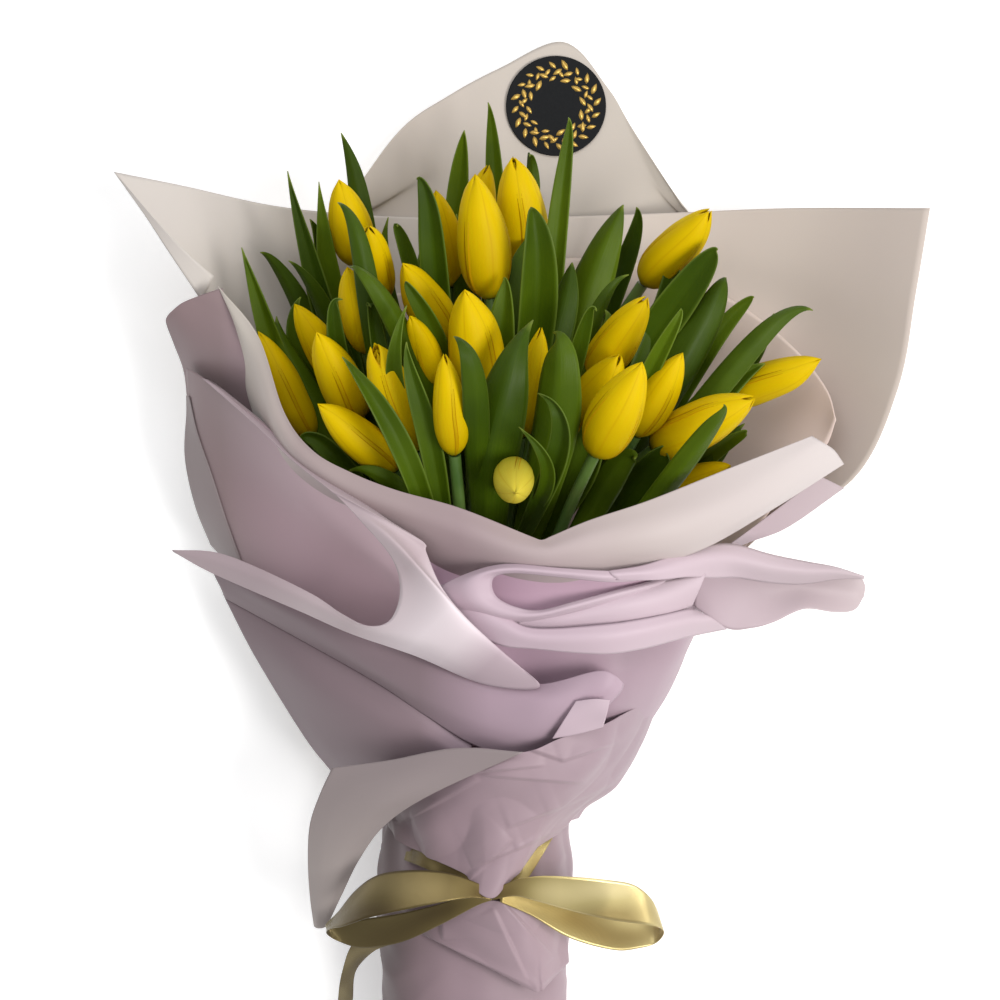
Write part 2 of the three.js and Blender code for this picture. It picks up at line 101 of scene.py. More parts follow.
# %% Table and light
def soft_light(name, where, wide, power, colour):
    """A square area light that looks at the middle of the bunch."""
    data = bpy.data.lights.new(name, "AREA")
    data.size = wide
    data.energy = power
    data.color = colour
    lamp = bpy.data.objects.new(name, data)
    lamp.location = where
    lamp.rotation_euler = (Vector((0, 0, 0.05)) - Vector(where)).to_track_quat("-Z", "Y").to_euler()
    bpy.context.scene.collection.objects.link(lamp)


soft_light("window_light", where=(1.25, -0.45, 1.8), wide=0.9, power=36, colour=(1.0, 0.985, 0.96))
soft_light("top_light", where=(-0.1, 1.1, 2.1), wide=1.6, power=20, colour=(0.97, 0.98, 1.0))

world = bpy.data.worlds.new("studio")
bpy.context.scene.world = world
world.use_nodes = True
sky = world.node_tree.nodes["Background"]
sky.inputs["Color"].default_value = (1, 1, 1, 1)
sky.inputs["Strength"].default_value = 0.45
bpy.context.scene.view_settings.view_transform = "Standard"

TABLE_WIDE = 9.0
TABLE_DROP = 0.0004
half = TABLE_WIDE / 2
table_corners = [(-half, -half, 0), (half, -half, 0), (half, half, 0), (-half, half, 0)]
table_mesh = bpy.data.meshes.new("table")
table_mesh.from_pydata(table_corners, [], [(0, 1, 2, 3)])
table = bpy.data.objects.new("table", table_mesh)
table.location.z = -TABLE_DROP
bpy.context.scene.collection.objects.link(table)
print("two soft lights and a pale table")

# %% [markdown]
# ## Materials
# Every finish here is built from shader nodes. Petals and leaves are plant tissue: a waxy, slightly glossy
# skin with fine veins along it, so their patterns follow each piece's own UV map, which runs across and
# along it. The film and the ribbon are thin and even, and their fine grain reads object coordinates. Their
# colour also carries painted light and shade, as ramps along the drawing. The helpers for nodes come
# first, and they also build the Geometry Nodes trees further down.

# %% Small helpers for nodes
BLACK = (0, 0, 0)
WHITE = (1, 1, 1)


def new_material(name):
    material = bpy.data.materials.new(name)
    material.use_nodes = True
    return material, material.node_tree, material.node_tree.nodes["Principled BSDF"]


def feed(socket, value):
    """A socket gets another node's output or a plain value."""
    if isinstance(value, bpy.types.NodeSocket):
        socket.id_data.links.new(value, socket)
    else:
        socket.default_value = value


def adjust(node, **values):
    """A node's inputs and properties by name; the spaces in an input's name are written as underscores."""
    for key, value in values.items():
        label = key.replace("_", " ")
        if label in node.inputs:
            feed(node.inputs[label], value)
        else:
            setattr(node, key, value)
    return node


def add(tree, kind, **values):
    """A new node of a kind in a tree, with its inputs and properties."""
    return adjust(tree.nodes.new(kind), **values)


def ramp(tree, source, stops):
    """A colour ramp fed by source, with stops of (place, colour)."""
    made = add(tree, "ShaderNodeValToRGB", Fac=source)
    band = made.color_ramp
    while len(band.elements) < len(stops):
        band.elements.new(0.5)
    for element, (place, colour) in zip(band.elements, stops):
        element.position = place
        element.color = (*colour, 1)
    return made.outputs["Color"]


def mixed(tree, how, share, first, second):
    """Two colours mixed; share is a number or a socket."""
    made = add(tree, "ShaderNodeMix", data_type="RGBA", blend_type=how)
    for place, value in (("Factor", share), (6, first), (7, second)):
        feed(made.inputs[place], (*value, 1) if isinstance(value, tuple) else value)
    return made.outputs[2]


def maths(tree, how, *values):
    made = add(tree, "ShaderNodeMath", operation=how)
    for socket, value in zip(made.inputs, values):
        feed(socket, value)
    return made.outputs[0]


def laid_over(tree, under, colour, mask, most):
    """A colour over another where a mask is bright, with a share of most at the brightest."""
    return mixed(tree, "MIX", maths(tree, "MULTIPLY", mask, most), under, colour)


def mapped(tree, output, scale=(1, 1, 1)):
    """Texture coordinates of one kind, stretched."""
    coordinates = add(tree, "ShaderNodeTexCoord")
    return add(tree, "ShaderNodeMapping", Scale=scale, Vector=coordinates.outputs[output]).outputs["Vector"]


def noise_of(tree, vector, scale, detail=3.0):
    return add(tree, "ShaderNodeTexNoise", Scale=scale, Detail=detail, Vector=vector).outputs["Fac"]


def bumped(tree, shader, height, strength, distance):
    made = add(tree, "ShaderNodeBump", Strength=strength, Distance=distance, Height=height)
    feed(shader.inputs["Normal"], made.outputs["Normal"])


def along_and_aside(tree):
    """How far along its UV map a point is, and how far from the map's middle line."""
    split = add(tree, "ShaderNodeSeparateXYZ", Vector=mapped(tree, "UV"))
    aside = maths(tree, "ABSOLUTE", maths(tree, "SUBTRACT", split.outputs["X"], 0.5))
    return split.outputs["Y"], aside


# %% Petals
def petal_material(name, foot, cheek, tip):
    """Yellow from a slightly green foot to a warm tip, with fine streaks, painted shade along the rim where
    the petals meet, and a darker middle line.
    """
    material, tree, shader = new_material(name)
    along, aside = along_and_aside(tree)
    body = ramp(tree, along, [(0.0, foot), (0.12, cheek), (0.75, tip)])
    streaks = noise_of(tree, mapped(tree, "UV", (46, 2.2, 1)), 1.0, 4.0)
    streaked = laid_over(tree, body, (0.60, 0.32, 0.0), streaks, 0.42)
    # painted shade along the seams: each petal darkens towards its edges, where it meets the next
    rim = ramp(tree, aside, [(0.42, BLACK), (0.485, WHITE)])
    middle = ramp(tree, aside, [(0.0, WHITE), (0.03, BLACK)])
    rimmed = laid_over(tree, streaked, (0.42, 0.19, 0.0), rim, 0.7)
    coloured = laid_over(tree, rimmed, (0.45, 0.24, 0.0), middle, 0.35)
    adjust(shader, Base_Color=coloured, Roughness=0.5, Subsurface_Weight=0.12,
           Subsurface_Radius=(0.004, 0.002, 0.0005), Specular_IOR_Level=0.07)
    bumped(tree, shader, streaks, 0.25, 0.0004)
    return material


PETAL = petal_material("yellow_petal", (0.17, 0.23, 0.004), (0.44, 0.32, 0.0), (0.66, 0.48, 0.0))
YOUNG_PETAL = petal_material("young_petal", (0.20, 0.28, 0.01), (0.46, 0.46, 0.03), (0.62, 0.55, 0.06))
print("petal materials made")


# %% Leaves and stems
def leaf_material():
    """Deep green with parallel veins, a paler rim, and a tint of its own on each leaf."""
    material, tree, shader = new_material("tulip_leaf")
    along, aside = along_and_aside(tree)
    tint = add(tree, "ShaderNodeAttribute", attribute_name="tint")
    body = mixed(tree, "MIX", tint.outputs["Fac"], (0.014, 0.041, 0.001), (0.074, 0.126, 0.002))
    veins = noise_of(tree, mapped(tree, "UV", (70, 1.6, 1)), 1.0)
    veined = laid_over(tree, body, (0.11, 0.165, 0.006), veins, 0.45)
    patches = noise_of(tree, mapped(tree, "Object"), 32.0, 2.0)
    shade = ramp(tree, patches, [(0.3, (0.55, 0.6, 0.6)), (0.75, (1.2, 1.15, 1.0))])
    patched = mixed(tree, "MULTIPLY", 0.6, veined, shade)
    rim = ramp(tree, aside, [(0.45, BLACK), (0.5, WHITE)])
    rimmed = laid_over(tree, patched, (0.19, 0.26, 0.04), rim, 0.35)
    tip = ramp(tree, along, [(0.93, BLACK), (1.0, WHITE)])
    tipped = laid_over(tree, rimmed, (0.30, 0.36, 0.06), tip, 0.5)
    adjust(shader, Base_Color=tipped, Roughness=0.4, Specular_IOR_Level=0.13, Subsurface_Weight=0.06,
           Subsurface_Radius=(0.001, 0.002, 0.0005))
    bumped(tree, shader, veins, 0.35, 0.0005)
    return material


def stem_material():
    """A smooth green stem that turns brownish in places."""
    material, tree, shader = new_material("tulip_stem")
    spots = noise_of(tree, mapped(tree, "Object", (1, 0.25, 1)), 55.0)
    greens = [(0.25, (0.05, 0.115, 0.02)), (0.55, (0.10, 0.17, 0.035)), (0.85, (0.16, 0.15, 0.05))]
    adjust(shader, Base_Color=ramp(tree, spots, greens), Roughness=0.38)
    fibres = noise_of(tree, mapped(tree, "Object", (1, 0.05, 1)), 900.0, 2.0)
    bumped(tree, shader, fibres, 0.3, 0.0003)
    return material


LEAF = leaf_material()
STEM = stem_material()
print("leaf and stem materials made")


# %% Film
def painted_light_across(tree, tones, toward):
    """Painted light and shade: a colour that changes along one direction of the drawing; tones are
    (millimetres, colour).
    """
    first, last = tones[0][0], tones[-1][0]
    measured = add(tree, "ShaderNodeVectorMath", operation="DOT_PRODUCT")
    feed(measured.inputs[0], mapped(tree, "Object"))
    feed(measured.inputs[1], (*toward, 0))
    shift = float(SHIFT[0] * toward[0] + SHIFT[1] * toward[1])
    place = add(tree, "ShaderNodeMapRange", Value=measured.outputs["Value"],
                From_Min=first * MM + shift, From_Max=last * MM + shift)
    stops = [((at - first) / (last - first), colour) for at, colour in tones]
    return ramp(tree, place.outputs["Result"], stops)


def film_material(name, tones, toward):
    """Matte florist film with light and shade painted into its colour as a ramp along one direction of the
    drawing.
    """
    material, tree, shader = new_material(name)
    cloud = noise_of(tree, mapped(tree, "Object"), 9.0, 2.0)
    shade = ramp(tree, cloud, [(0.3, (0.93, 0.90, 0.93)), (0.7, WHITE)])
    # the tone ramp mixed in here is painted light and shade
    shaded = mixed(tree, "MULTIPLY", 0.5, painted_light_across(tree, tones, toward), shade)
    adjust(shader, Base_Color=shaded, Roughness=0.5, Specular_IOR_Level=0.25, Sheen_Weight=0.08)
    grain = noise_of(tree, mapped(tree, "Object"), 1500.0, 2.0)
    ripple = noise_of(tree, mapped(tree, "Object"), 60.0, 2.0)
    height = maths(tree, "ADD", maths(tree, "MULTIPLY", grain, 0.12), ripple)
    bumped(tree, shader, height, 0.12, 0.0008)
    return material


# Each film below is the same lilac film. Its tone ramp is painted light and shade: lighter where a sheet
# faces the window, darker in folds, recesses and on sides turned away.
RIGHT = (1, 0)
AWAY = (0, 1)
FAR_LEFT_TO_NEAR_RIGHT = (1, -1)
# painted light and shade on the back sheet: lighter at the left, darker to the right
BACK_FILM = film_material("back_film_skin", [
    (-80, (0.68, 0.61, 0.54)), (-45, (0.62, 0.555, 0.49)), (-15, (0.56, 0.505, 0.45)),
    (90, (0.55, 0.50, 0.44)),
], RIGHT)
# painted light and shade on the wide sheet: lightest in the middle, darker at both ends
WIDE_FILM = film_material("wide_film_skin", [
    (-150, (0.58, 0.54, 0.50)), (-110, (0.66, 0.61, 0.56)), (60, (0.72, 0.635, 0.57)),
    (190, (0.56, 0.49, 0.435)),
], RIGHT)
# painted light on the inner sheet: lighter towards the heads
INNER_FILM = film_material("inner_film_skin", [(200, (0.70, 0.56, 0.52)), (380, (0.80, 0.67, 0.59))], AWAY)
# painted shade inside the cone: darkest at the far left, lighter to the right
PANEL_FILM = film_material("panel_film_skin", [
    (-165, (0.25, 0.18, 0.185)), (-140, (0.28, 0.205, 0.21)), (-125, (0.37, 0.27, 0.29)),
    (-100, (0.54, 0.39, 0.43)), (-80, (0.66, 0.475, 0.52)), (-50, (0.78, 0.56, 0.62)),
], RIGHT)
# painted shade on the lower left fold: dark at the left, lighter to the right
LOWER_FILM = film_material("lower_film_skin", [
    (-110, (0.215, 0.16, 0.175)), (-40, (0.25, 0.185, 0.205)), (-5, (0.40, 0.295, 0.35)),
    (30, (0.43, 0.32, 0.38)),
], RIGHT)
# painted highlight across the middle of the cone's outside, painted shade at both ends
CONE_FILM = film_material("cone_film_skin", [
    (-330, (0.42, 0.335, 0.355)), (-290, (0.50, 0.41, 0.43)), (-262, (0.50, 0.41, 0.43)),
    (-222, (0.80, 0.71, 0.74)), (-200, (0.74, 0.65, 0.68)), (-176, (0.50, 0.40, 0.44)),
], FAR_LEFT_TO_NEAR_RIGHT)
# painted shade on the collar beside the cone, lighter at its left end and along the band to the right
COLLAR_FILM = film_material("collar_film_skin", [
    (-128, (0.58, 0.53, 0.47)), (-98, (0.42, 0.34, 0.33)), (-20, (0.355, 0.27, 0.28)),
    (24, (0.44, 0.36, 0.36)),
    (60, (0.48, 0.41, 0.395)), (165, (0.60, 0.55, 0.53)),
], RIGHT)
# painted shade on the front body: lighter behind the cone tip, darker to the right
BODY_FILM = film_material("body_film_skin", [
    (0, (0.60, 0.42, 0.52)), (36, (0.54, 0.385, 0.465)), (62, (0.36, 0.265, 0.31)),
    (100, (0.38, 0.28, 0.325)),
], RIGHT)
# painted light on the rolls, a little lighter in the middle
ROLL_FILM = film_material("roll_film_skin", [
    (-20, (0.50, 0.39, 0.445)), (70, (0.54, 0.43, 0.48)), (180, (0.49, 0.41, 0.43)),
], RIGHT)
# painted shade inside the pocket, a little lighter to the right
POCKET_SHADE_FILM = film_material("deep_film_skin", [(-10, (0.47, 0.31, 0.395)), (80, (0.58, 0.41, 0.50))], RIGHT)
# painted light on the tongue: lighter towards its tip
TONGUE_FILM = film_material("tongue_film_skin", [(100, (0.45, 0.35, 0.39)),
(180, (0.50, 0.42, 0.43))], RIGHT)
# painted shade on the gather and the sleeve: darkest at the lower left, lighter to the right
GATHER_FILM = film_material("gather_film_skin", [
    (-55, (0.15, 0.112, 0.115)), (-40, (0.22, 0.16, 0.175)), (-20, (0.275, 0.20, 0.225)),
    (10, (0.35, 0.26, 0.29)), (60, (0.34, 0.255, 0.29)),
], RIGHT)
# painted shade on the flap and the panel's fold: darker towards the heads
FLAP_FILM = film_material("flap_film_skin", [(30, (0.37, 0.325, 0.305)), (120, (0.275, 0.23, 0.23))], AWAY)
print("film materials made")


# %% Ribbon, seal and table
def ribbon_material():
    """Gold satin: fine threads across the ribbon, a soft metallic sheen, and painted light and shade: dark
    on the left loop, bright on the right, with painted glints.
    """
    material, tree, shader = new_material("gold_satin")
    lines = mapped(tree, "UV", (1, 150, 1))
    wave = add(tree, "ShaderNodeTexWave", Scale=1.0, Distortion=0.4, bands_direction="Y", Vector=lines)
    threads = wave.outputs["Color"]
    # painted shade on the left loop and painted highlight on the right loop
    tone = painted_light_across(tree, [
        (-85, (0.17, 0.13, 0.05)), (-25, (0.16, 0.115, 0.035)), (5, (0.40, 0.30, 0.10)),
        (30, (0.70, 0.57, 0.24)), (80, (0.78, 0.65, 0.30)),
    ], RIGHT)
    # painted sheen: noise along the ribbon sets bright glints and darker stretches into its colour
    cloud = noise_of(tree, mapped(tree, "UV", (0.8, 5, 1)), 1.0, 0.0)
    sheen = ramp(tree, cloud, [(0.3, (0.6, 0.55, 0.48)), (0.5, (0.95, 0.95, 0.95)),
    (0.68, (1.45, 1.5, 1.8))])
    coloured = mixed(tree, "MULTIPLY", 0.3, mixed(tree, "MULTIPLY", 1.0, tone, sheen), threads)
    adjust(shader, Base_Color=coloured, Metallic=0.65, Roughness=0.28, Anisotropic=0.5, Sheen_Weight=0.2)
    bumped(tree, shader, threads, 0.25, 0.0002)
    return material


def print_material(name, colour, roughness, metallic):
    """A printed paper finish with a faint fibre in it."""
    material, tree, shader = new_material(name)
    fibre = noise_of(tree, mapped(tree, "Object"), 700.0)
    light = tuple(min(1.0, channel * 1.25 + 0.004) for channel in colour)
    adjust(shader, Base_Color=mixed(tree, "MIX", fibre, colour, light), Roughness=roughness,
           Metallic=metallic, Specular_IOR_Level=0.15)
    bumped(tree, shader, fibre, 0.15, 0.0001)
    return material


GOLD_SATIN = ribbon_material()
SEAL_BLACK = print_material("black_seal", (0.004, 0.0045, 0.0055), 0.6, 0.0)
SEAL_GOLD = print_material("gold_print", (0.62, 0.40, 0.10), 0.36, 0.6)
PALE_TABLE = print_material("pale_table", (0.86, 0.86, 0.86), 0.75, 0.0)
adjust(PALE_TABLE.node_tree.nodes["Principled BSDF"], Emission_Color=(1, 1, 1, 1), Emission_Strength=0.3)
table_mesh.materials.append(PALE_TABLE)
print("ribbon, seal and table materials made")

# %% [markdown]
# ## Helpers for shapes
# Most pieces here are thin and curved. A line through a few given points is smoothed as a Catmull-Rom
# spline, and a few such lines side by side give a surface. Geometry Nodes trees are run through one small
# helper that turns their result into a plain mesh.

# %% Smooth lines and surfaces
def catmull(points, spots):
    """A Catmull-Rom spline along axis 0 of points, read at spots from 0 to len(points) - 1."""
    points = np.asarray(points, float)
    ends = np.concatenate([[2 * points[0] - points[1]], points, [2 * points[-1] - points[-2]]])
    first = np.clip(np.floor(spots).astype(int), 0, len(points) - 2)
    t = (spots - first).reshape(-1, *[1] * (points.ndim - 1))
    a, b, c, d = (ends[first + k] for k in range(4))
    return 0.5 * (2 * b + (c - a) * t + (2 * a - 5 * b + 4 * c - d) * t**2 + (3 * b - a - 3 * c + d) * t**3)


def smooth_line(points, count):
    """count points along a smooth line, evenly spaced."""
    dense = catmull(points, np.linspace(0, len(points) - 1, 12 * len(points)))
    walked = np.concatenate([[0], np.cumsum(np.linalg.norm(np.diff(dense, axis=0), axis=1))])
    spots = np.linspace(0, walked[-1], count)
    return np.stack([np.interp(spots, walked, dense[:, k]) for k in range(dense.shape[1])], axis=1)


def surface(guides, down, across):
    """A grid of down by across points through guide lines, each a list of points from left to right."""
    lines = np.stack([smooth_line(guide, across) for guide in guides])
    return catmull(lines, np.linspace(0, len(guides) - 1, down))


def normals(grid):
    """The unit normal at each point of a grid."""
    facing = np.cross(np.gradient(grid, axis=1), np.gradient(grid, axis=0))
    return facing / np.maximum(np.linalg.norm(facing, axis=2, keepdims=True), 1e-9)


def crinkled(grid, amount, size, seed, mask=1.0, lean=0.0, stretch=1.0):
    """The grid with sharp irregular creases, amount deep and about size apart, drawn out along lean."""
    run, climb = math.cos(math.radians(lean)), math.sin(math.radians(lean))
    offset = Vector((seed * 17.3, seed * 5.1, seed * 9.7))
    depth = np.zeros(grid.shape[:2])
    for i in range(grid.shape[0]):
        for j in range(grid.shape[1]):
            x, y, z = grid[i, j]
            spot = Vector(((x * run + y * climb) / stretch, y * run - x * climb, z)) / size + offset
            depth[i, j] = 1 - 2.6 * abs(noise.noise(spot)) + 0.5 * noise.noise(spot * 2.3)
    return grid + normals(grid) * (depth * amount * mask)[:, :, None]


def pleated(grid, amount, count, seed, reach):
    """The grid with pleats that run up from its first row and fade out over reach of its length."""
    rows, columns = grid.shape[:2]
    shares = np.linspace(0, 1, columns)
    drift = np.array([noise.noise(Vector((s * 3.1, seed * 7.7, 0.3))) for s in shares])
    wave = (shares + 0.12 * drift) * count
    ridge = 2 * np.abs((wave % 1) - 0.5) - 0.5
    fade = np.clip(1 - np.linspace(0, 1, rows) / reach, 0, 1) ** 1.2
    return grid + normals(grid) * (fade[:, None] * ridge[None, :] * amount)[:, :, None]


def stepped(grid, lines, depth, reach):
    """The grid with folds in it: it steps up on the left of each line and eases back over reach."""
    made = grid.copy()
    for start, end in lines:
        start, run = np.array(start, float), np.subtract(end, start)
        along = run / np.linalg.norm(run)
        offset = grid[:, :, :2] - start
        share = offset @ along / np.linalg.norm(run)
        aside = offset[:, :, 1] * along[0] - offset[:, :, 0] * along[1]
        fade = np.sqrt(np.clip(1 - (2 * share - 1) ** 2, 0, 1))
        made[:, :, 2] += depth * fade * np.clip(aside / 1.4 + 0.5, 0, 1) * np.exp(-np.abs(aside) / reach)
    return made


def edge_layer(grid, rows, shares, columns, lift):
    """A narrow layer on the left side of a grid, lift above it; shares is its width at each end."""
    raised = (grid + normals(grid) * lift)[:rows]
    steps = np.arange(grid.shape[1])
    spots = [np.linspace(0, share * steps[-1], columns) for share in np.linspace(*shares, rows)]
    layer = []
    for row, spot in zip(raised, spots):
        layer.append(np.stack([np.interp(spot, steps, row[:, k]) for k in range(3)], axis=1))
    return np.stack(layer)


print("shape helpers ready")


# %% Meshes from grids
def mesh_object(name, corners, faces, uvs=None):
    mesh = bpy.data.meshes.new(name)
    mesh.from_pydata([tuple(c) for c in corners], [], faces)
    if uvs is not None:
        layer = mesh.uv_layers.new(name="UVMap")
        for loop in mesh.loops:
            layer.data[loop.index].uv = uvs[loop.vertex_index]
    for polygon in mesh.polygons:
        polygon.use_smooth = True
    made = bpy.data.objects.new(name, mesh)
    bpy.context.scene.collection.objects.link(made)
    return made


def grid_faces(rows, columns):
    """The faces of a grid of points, and the place of each point across and along it."""
    faces = [
        (r * columns + c, r * columns + c + 1, (r + 1) * columns + c + 1, (r + 1) * columns + c)
        for r in range(rows - 1)
        for c in range(columns - 1)
    ]
    return faces, [(c / (columns - 1), r / (rows - 1)) for r in range(rows) for c in range(columns)]


def grid_object(name, grid):
    """A grid of drawing points as a mesh in the frame, with a UV map across and along it."""
    return mesh_object(name, placed(grid.reshape(-1, 3)), *grid_faces(*grid.shape[:2]))


def frozen(made):
    """The object with its modifiers applied to its mesh."""
    evaluated = made.evaluated_get(bpy.context.evaluated_depsgraph_get())
    mesh = bpy.data.meshes.new_from_object(evaluated)
    made.modifiers.clear()
    old = made.data
    made.data = mesh
    mesh.name = made.name
    bpy.data.meshes.remove(old)
    return made


def thickened(made, thickness, offset=0.0):
    """A thin surface given its thickness, in millimetres, with closed edges."""
    shell = made.modifiers.new("thickness", "SOLIDIFY")
    shell.thickness = thickness * MM
    shell.offset = offset
    return frozen(made)


def joined(name, parts):
    """Several mesh objects as one, with their materials kept."""
    whole = bmesh.new()
    materials = []
    for part in parts:
        kept = list(part.data.materials)
        for material in kept:
            if material not in materials:
                materials.append(material)
        places = [materials.index(m) for m in kept] or [0]
        for polygon in part.data.polygons:
            polygon.material_index = places[min(polygon.material_index, len(places) - 1)]
        whole.from_mesh(part.data)
    mesh = bpy.data.meshes.new(name)
    whole.to_mesh(mesh)
    whole.free()
    for material in materials:
        mesh.materials.append(material)
    for part in parts:
        bpy.data.meshes.remove(part.data)
    made = bpy.data.objects.new(name, mesh)
    bpy.context.scene.collection.objects.link(made)
    return made


def settle(made, slot, *nodes):
    """A finished piece rides on the bunch and stands for its nodes."""
    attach(made, BODY)
    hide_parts(*nodes)


print("mesh helpers ready")


# %% Running a Geometry Nodes tree
def new_tree(name, inputs):
    """A Geometry Nodes tree with named inputs, given as (name, kind, default)."""
    tree = bpy.data.node_groups.new(name, "GeometryNodeTree")
    tree.interface.new_socket("Geometry", in_out="OUTPUT", socket_type="NodeSocketGeometry")
    for label, kind, default in inputs:
        socket = tree.interface.new_socket(label, in_out="INPUT", socket_type="NodeSocket" + kind)
        if default is not None:
            socket.default_value = default
    return tree, tree.nodes.new("NodeGroupInput"), tree.nodes.new("NodeGroupOutput")


def grown(name, tree, values):
    """The tree's result for these inputs, as a plain mesh object."""
    host = bpy.data.objects.new(name, bpy.data.meshes.new(name))
    bpy.context.scene.collection.objects.link(host)
    modifier = host.modifiers.new("grow", "NODES")
    modifier.node_group = tree
    for socket in tree.interface.items_tree:
        if socket.in_out == "INPUT" and socket.name in values:
            modifier[socket.identifier] = values[socket.name]
    host.update_tag()
    return frozen(host)


def dressed(tree, source, result, shape):
    """The end of a tree: what was set along it is made real and gets the material that was handed in."""
    real = add(tree, "GeometryNodeRealizeInstances", Geometry=shape)
    skin = add(tree, "GeometryNodeSetMaterial", Geometry=real.outputs[0], Material=source.outputs["Skin"])
    feed(result.inputs[0], skin.outputs[0])
    return tree


print("geometry nodes helpers ready")

# %% [markdown]
# ## The blooms
# A closed tulip has six petals: three inner ones that close round the middle, and three outer ones that
# lap over them. Each petal is a curved leaf of tissue whose edges show as seams down the bud. One petal of
# each kind is shaped here, and a Geometry Nodes tree sets three of each round an axis, because every
# bloom follows that same rule and differs only in size, turn and how far it has opened.

# %% Where the blooms are
# base x and y, tip x and y, height of the tip, length, greatest width, which of the openings
BLOOMS = [
    (-71, 369, -81, 411, 74, 52, 22, 0), (-60, 351, -65, 385, 114, 55, 19, 1),
    (-66, 324, -75, 364, 122, 52, 18, 0), (-77, 307, -102, 347, 96, 54, 18, 0),
    (-70, 291, -90, 332, 128, 58, 22, 0), (-51, 265, -89, 297, 136, 56, 20, 0),
    (-94, 281, -121, 334, 84, 62, 18, 0), (-41, 274, -61, 325, 142, 60, 23, 2),
    (-32, 307, -44, 340, 134, 50, 17, 0), (-25, 328, -48, 367, 112, 58, 22, 0),
    (-24, 359, -32, 404, 86, 56, 20, 0), (-5, 351, -12, 411, 110, 66, 26, 0),
    (-15, 375, -6, 419, 60, 50, 18, 1), (14, 369, 7, 421, 86, 60, 25, 1),
    (-8, 303, -17, 352, 142, 62, 27, 0), (-22, 272, -27, 320, 166, 54, 17, 1),
    (10, 281, 20, 334, 136, 58, 16, 1), (6, 264, 7, 253, 176, 50, 20, 0),
    (46, 310, 72, 350, 120, 56, 21, 1), (72, 359, 105, 394, 92, 58, 22, 1),
    (37, 286, 59, 321, 126, 54, 22, 1), (46, 272, 68, 316, 164, 58, 25, 0),
    (67, 282, 89, 322, 134, 54, 19, 0), (76, 275, 124, 300, 126, 60, 24, 1),
    (113, 301, 160, 320, 92, 56, 20, 0), (84, 250, 114, 267, 110, 48, 20, 0),
]


def bloom_axis(bloom):
    """The base and tip of a bloom, from its places in plan, the height of its tip and its length."""
    base_x, base_y, tip_x, tip_y, tip_z, long = bloom[:6]
    drop = math.sqrt(max(0.0, long**2 - (tip_x - base_x) ** 2 - (tip_y - base_y) ** 2))
    return np.array([base_x, base_y, tip_z - drop], float), np.array([tip_x, tip_y, tip_z], float)


print(len(BLOOMS), "blooms")

# %% One petal of each kind
BUD = [(0.0, 0.18), (0.03, 0.40), (0.1, 0.72), (0.22, 0.94), (0.34, 1.0), (0.48, 0.98), (0.62, 0.88),
(0.76, 0.69),
       (0.88, 0.43), (0.95, 0.20), (1.0, 0.0)]
OPENINGS = (0.0, 0.10, 0.26)
PETAL_ROWS = 26
PETAL_COLUMNS = 15
PETAL_THICK = 22


def petal_object(name, outer, opening):
    """A petal of a bud that is one metre long and one metre wide, standing on the origin."""
    up = np.linspace(0, 1, PETAL_ROWS)[:, None]
    side = np.linspace(-1, 1, PETAL_COLUMNS)[None, :]
    outline = smooth_line([(*p, 0) for p in BUD], 60)
    radius = 0.5 * np.interp(up, outline[:, 0], outline[:, 1])
    narrow = np.minimum(1, ((1 - up) / (0.03 + 0.5 * opening) + 0.1) ** 0.5)
    reach = math.radians(67 if outer else 62) * narrow
    swell = 1 + 0.06 * np.cos(side * math.pi / 2) - 0.035 * np.exp(-((side / 0.09) ** 2)) * (0.3 + 0.7 * up)
    lap = 0.02 * np.abs(side) ** 4 if outer else -0.026
    flare = opening * np.maximum(0, up - 0.45) ** 1.6 * (1.0 if outer else 0.35)
    out = radius * swell + lap + flare
    turn = side * reach + 0.22 * (up - 0.3)
    height = up * (1.0 if outer else 0.955) - 0.03 * side**2 * up
    corners = np.stack([out * np.cos(turn), out * np.sin(turn), height * np.ones_like(turn)], axis=2)
    made = mesh_object(name, corners.reshape(-1, 3), *grid_faces(PETAL_ROWS, PETAL_COLUMNS))
    return thickened(made, PETAL_THICK, -1)


petals = {
    (kind, step): petal_object(f"petal_{kind}_{step}", kind == "outer", opening)
    for kind in ("outer", "inner")
    for step, opening in enumerate(OPENINGS)
}
print(len(petals), "petal shapes of", len(petals["outer", 0].data.polygons), "faces")


# %% The tree that sets six petals round a bloom
def bloom_tree():
    tree, source, result = new_tree("bloom", [
        ("Outer Petal", "Object", None), ("Inner Petal", "Object", None),
        ("Size", "Vector", (0.02, 0.02, 0.06)), ("Place", "Vector", (0, 0, 0)),
        ("Facing", "Rotation", None), ("Skin", "Material", None),
    ])
    given = source.outputs
    gathered = add(tree, "GeometryNodeJoinGeometry")
    for kind, first_turn in (("Outer Petal", 0.0), ("Inner Petal", math.pi / 3)):
        index = add(tree, "GeometryNodeInputIndex")
        turn = maths(tree, "MULTIPLY_ADD", index.outputs[0], 2 * math.pi / 3, first_turn)
        spin = add(tree, "ShaderNodeCombineXYZ", Z=turn)
        petal = add(tree, "GeometryNodeObjectInfo", Object=given[kind])
        three = add(tree, "GeometryNodePoints", Count=3)
        ring = add(tree, "GeometryNodeInstanceOnPoints", Points=three.outputs[0],
                   Instance=petal.outputs["Geometry"], Rotation=spin.outputs[0])
        feed(gathered.inputs[0], ring.outputs[0])
    sized = add(tree, "GeometryNodeTransform", Geometry=gathered.outputs[0], Scale=given["Size"])
    set_down = add(tree, "GeometryNodeTransform", Geometry=sized.outputs[0], Translation=given["Place"],
                   Rotation=given["Facing"])
    return dressed(tree, source, result, set_down.outputs[0])


BLOOM_TREE = bloom_tree()
print("bloom tree has", len(BLOOM_TREE.nodes), "nodes")

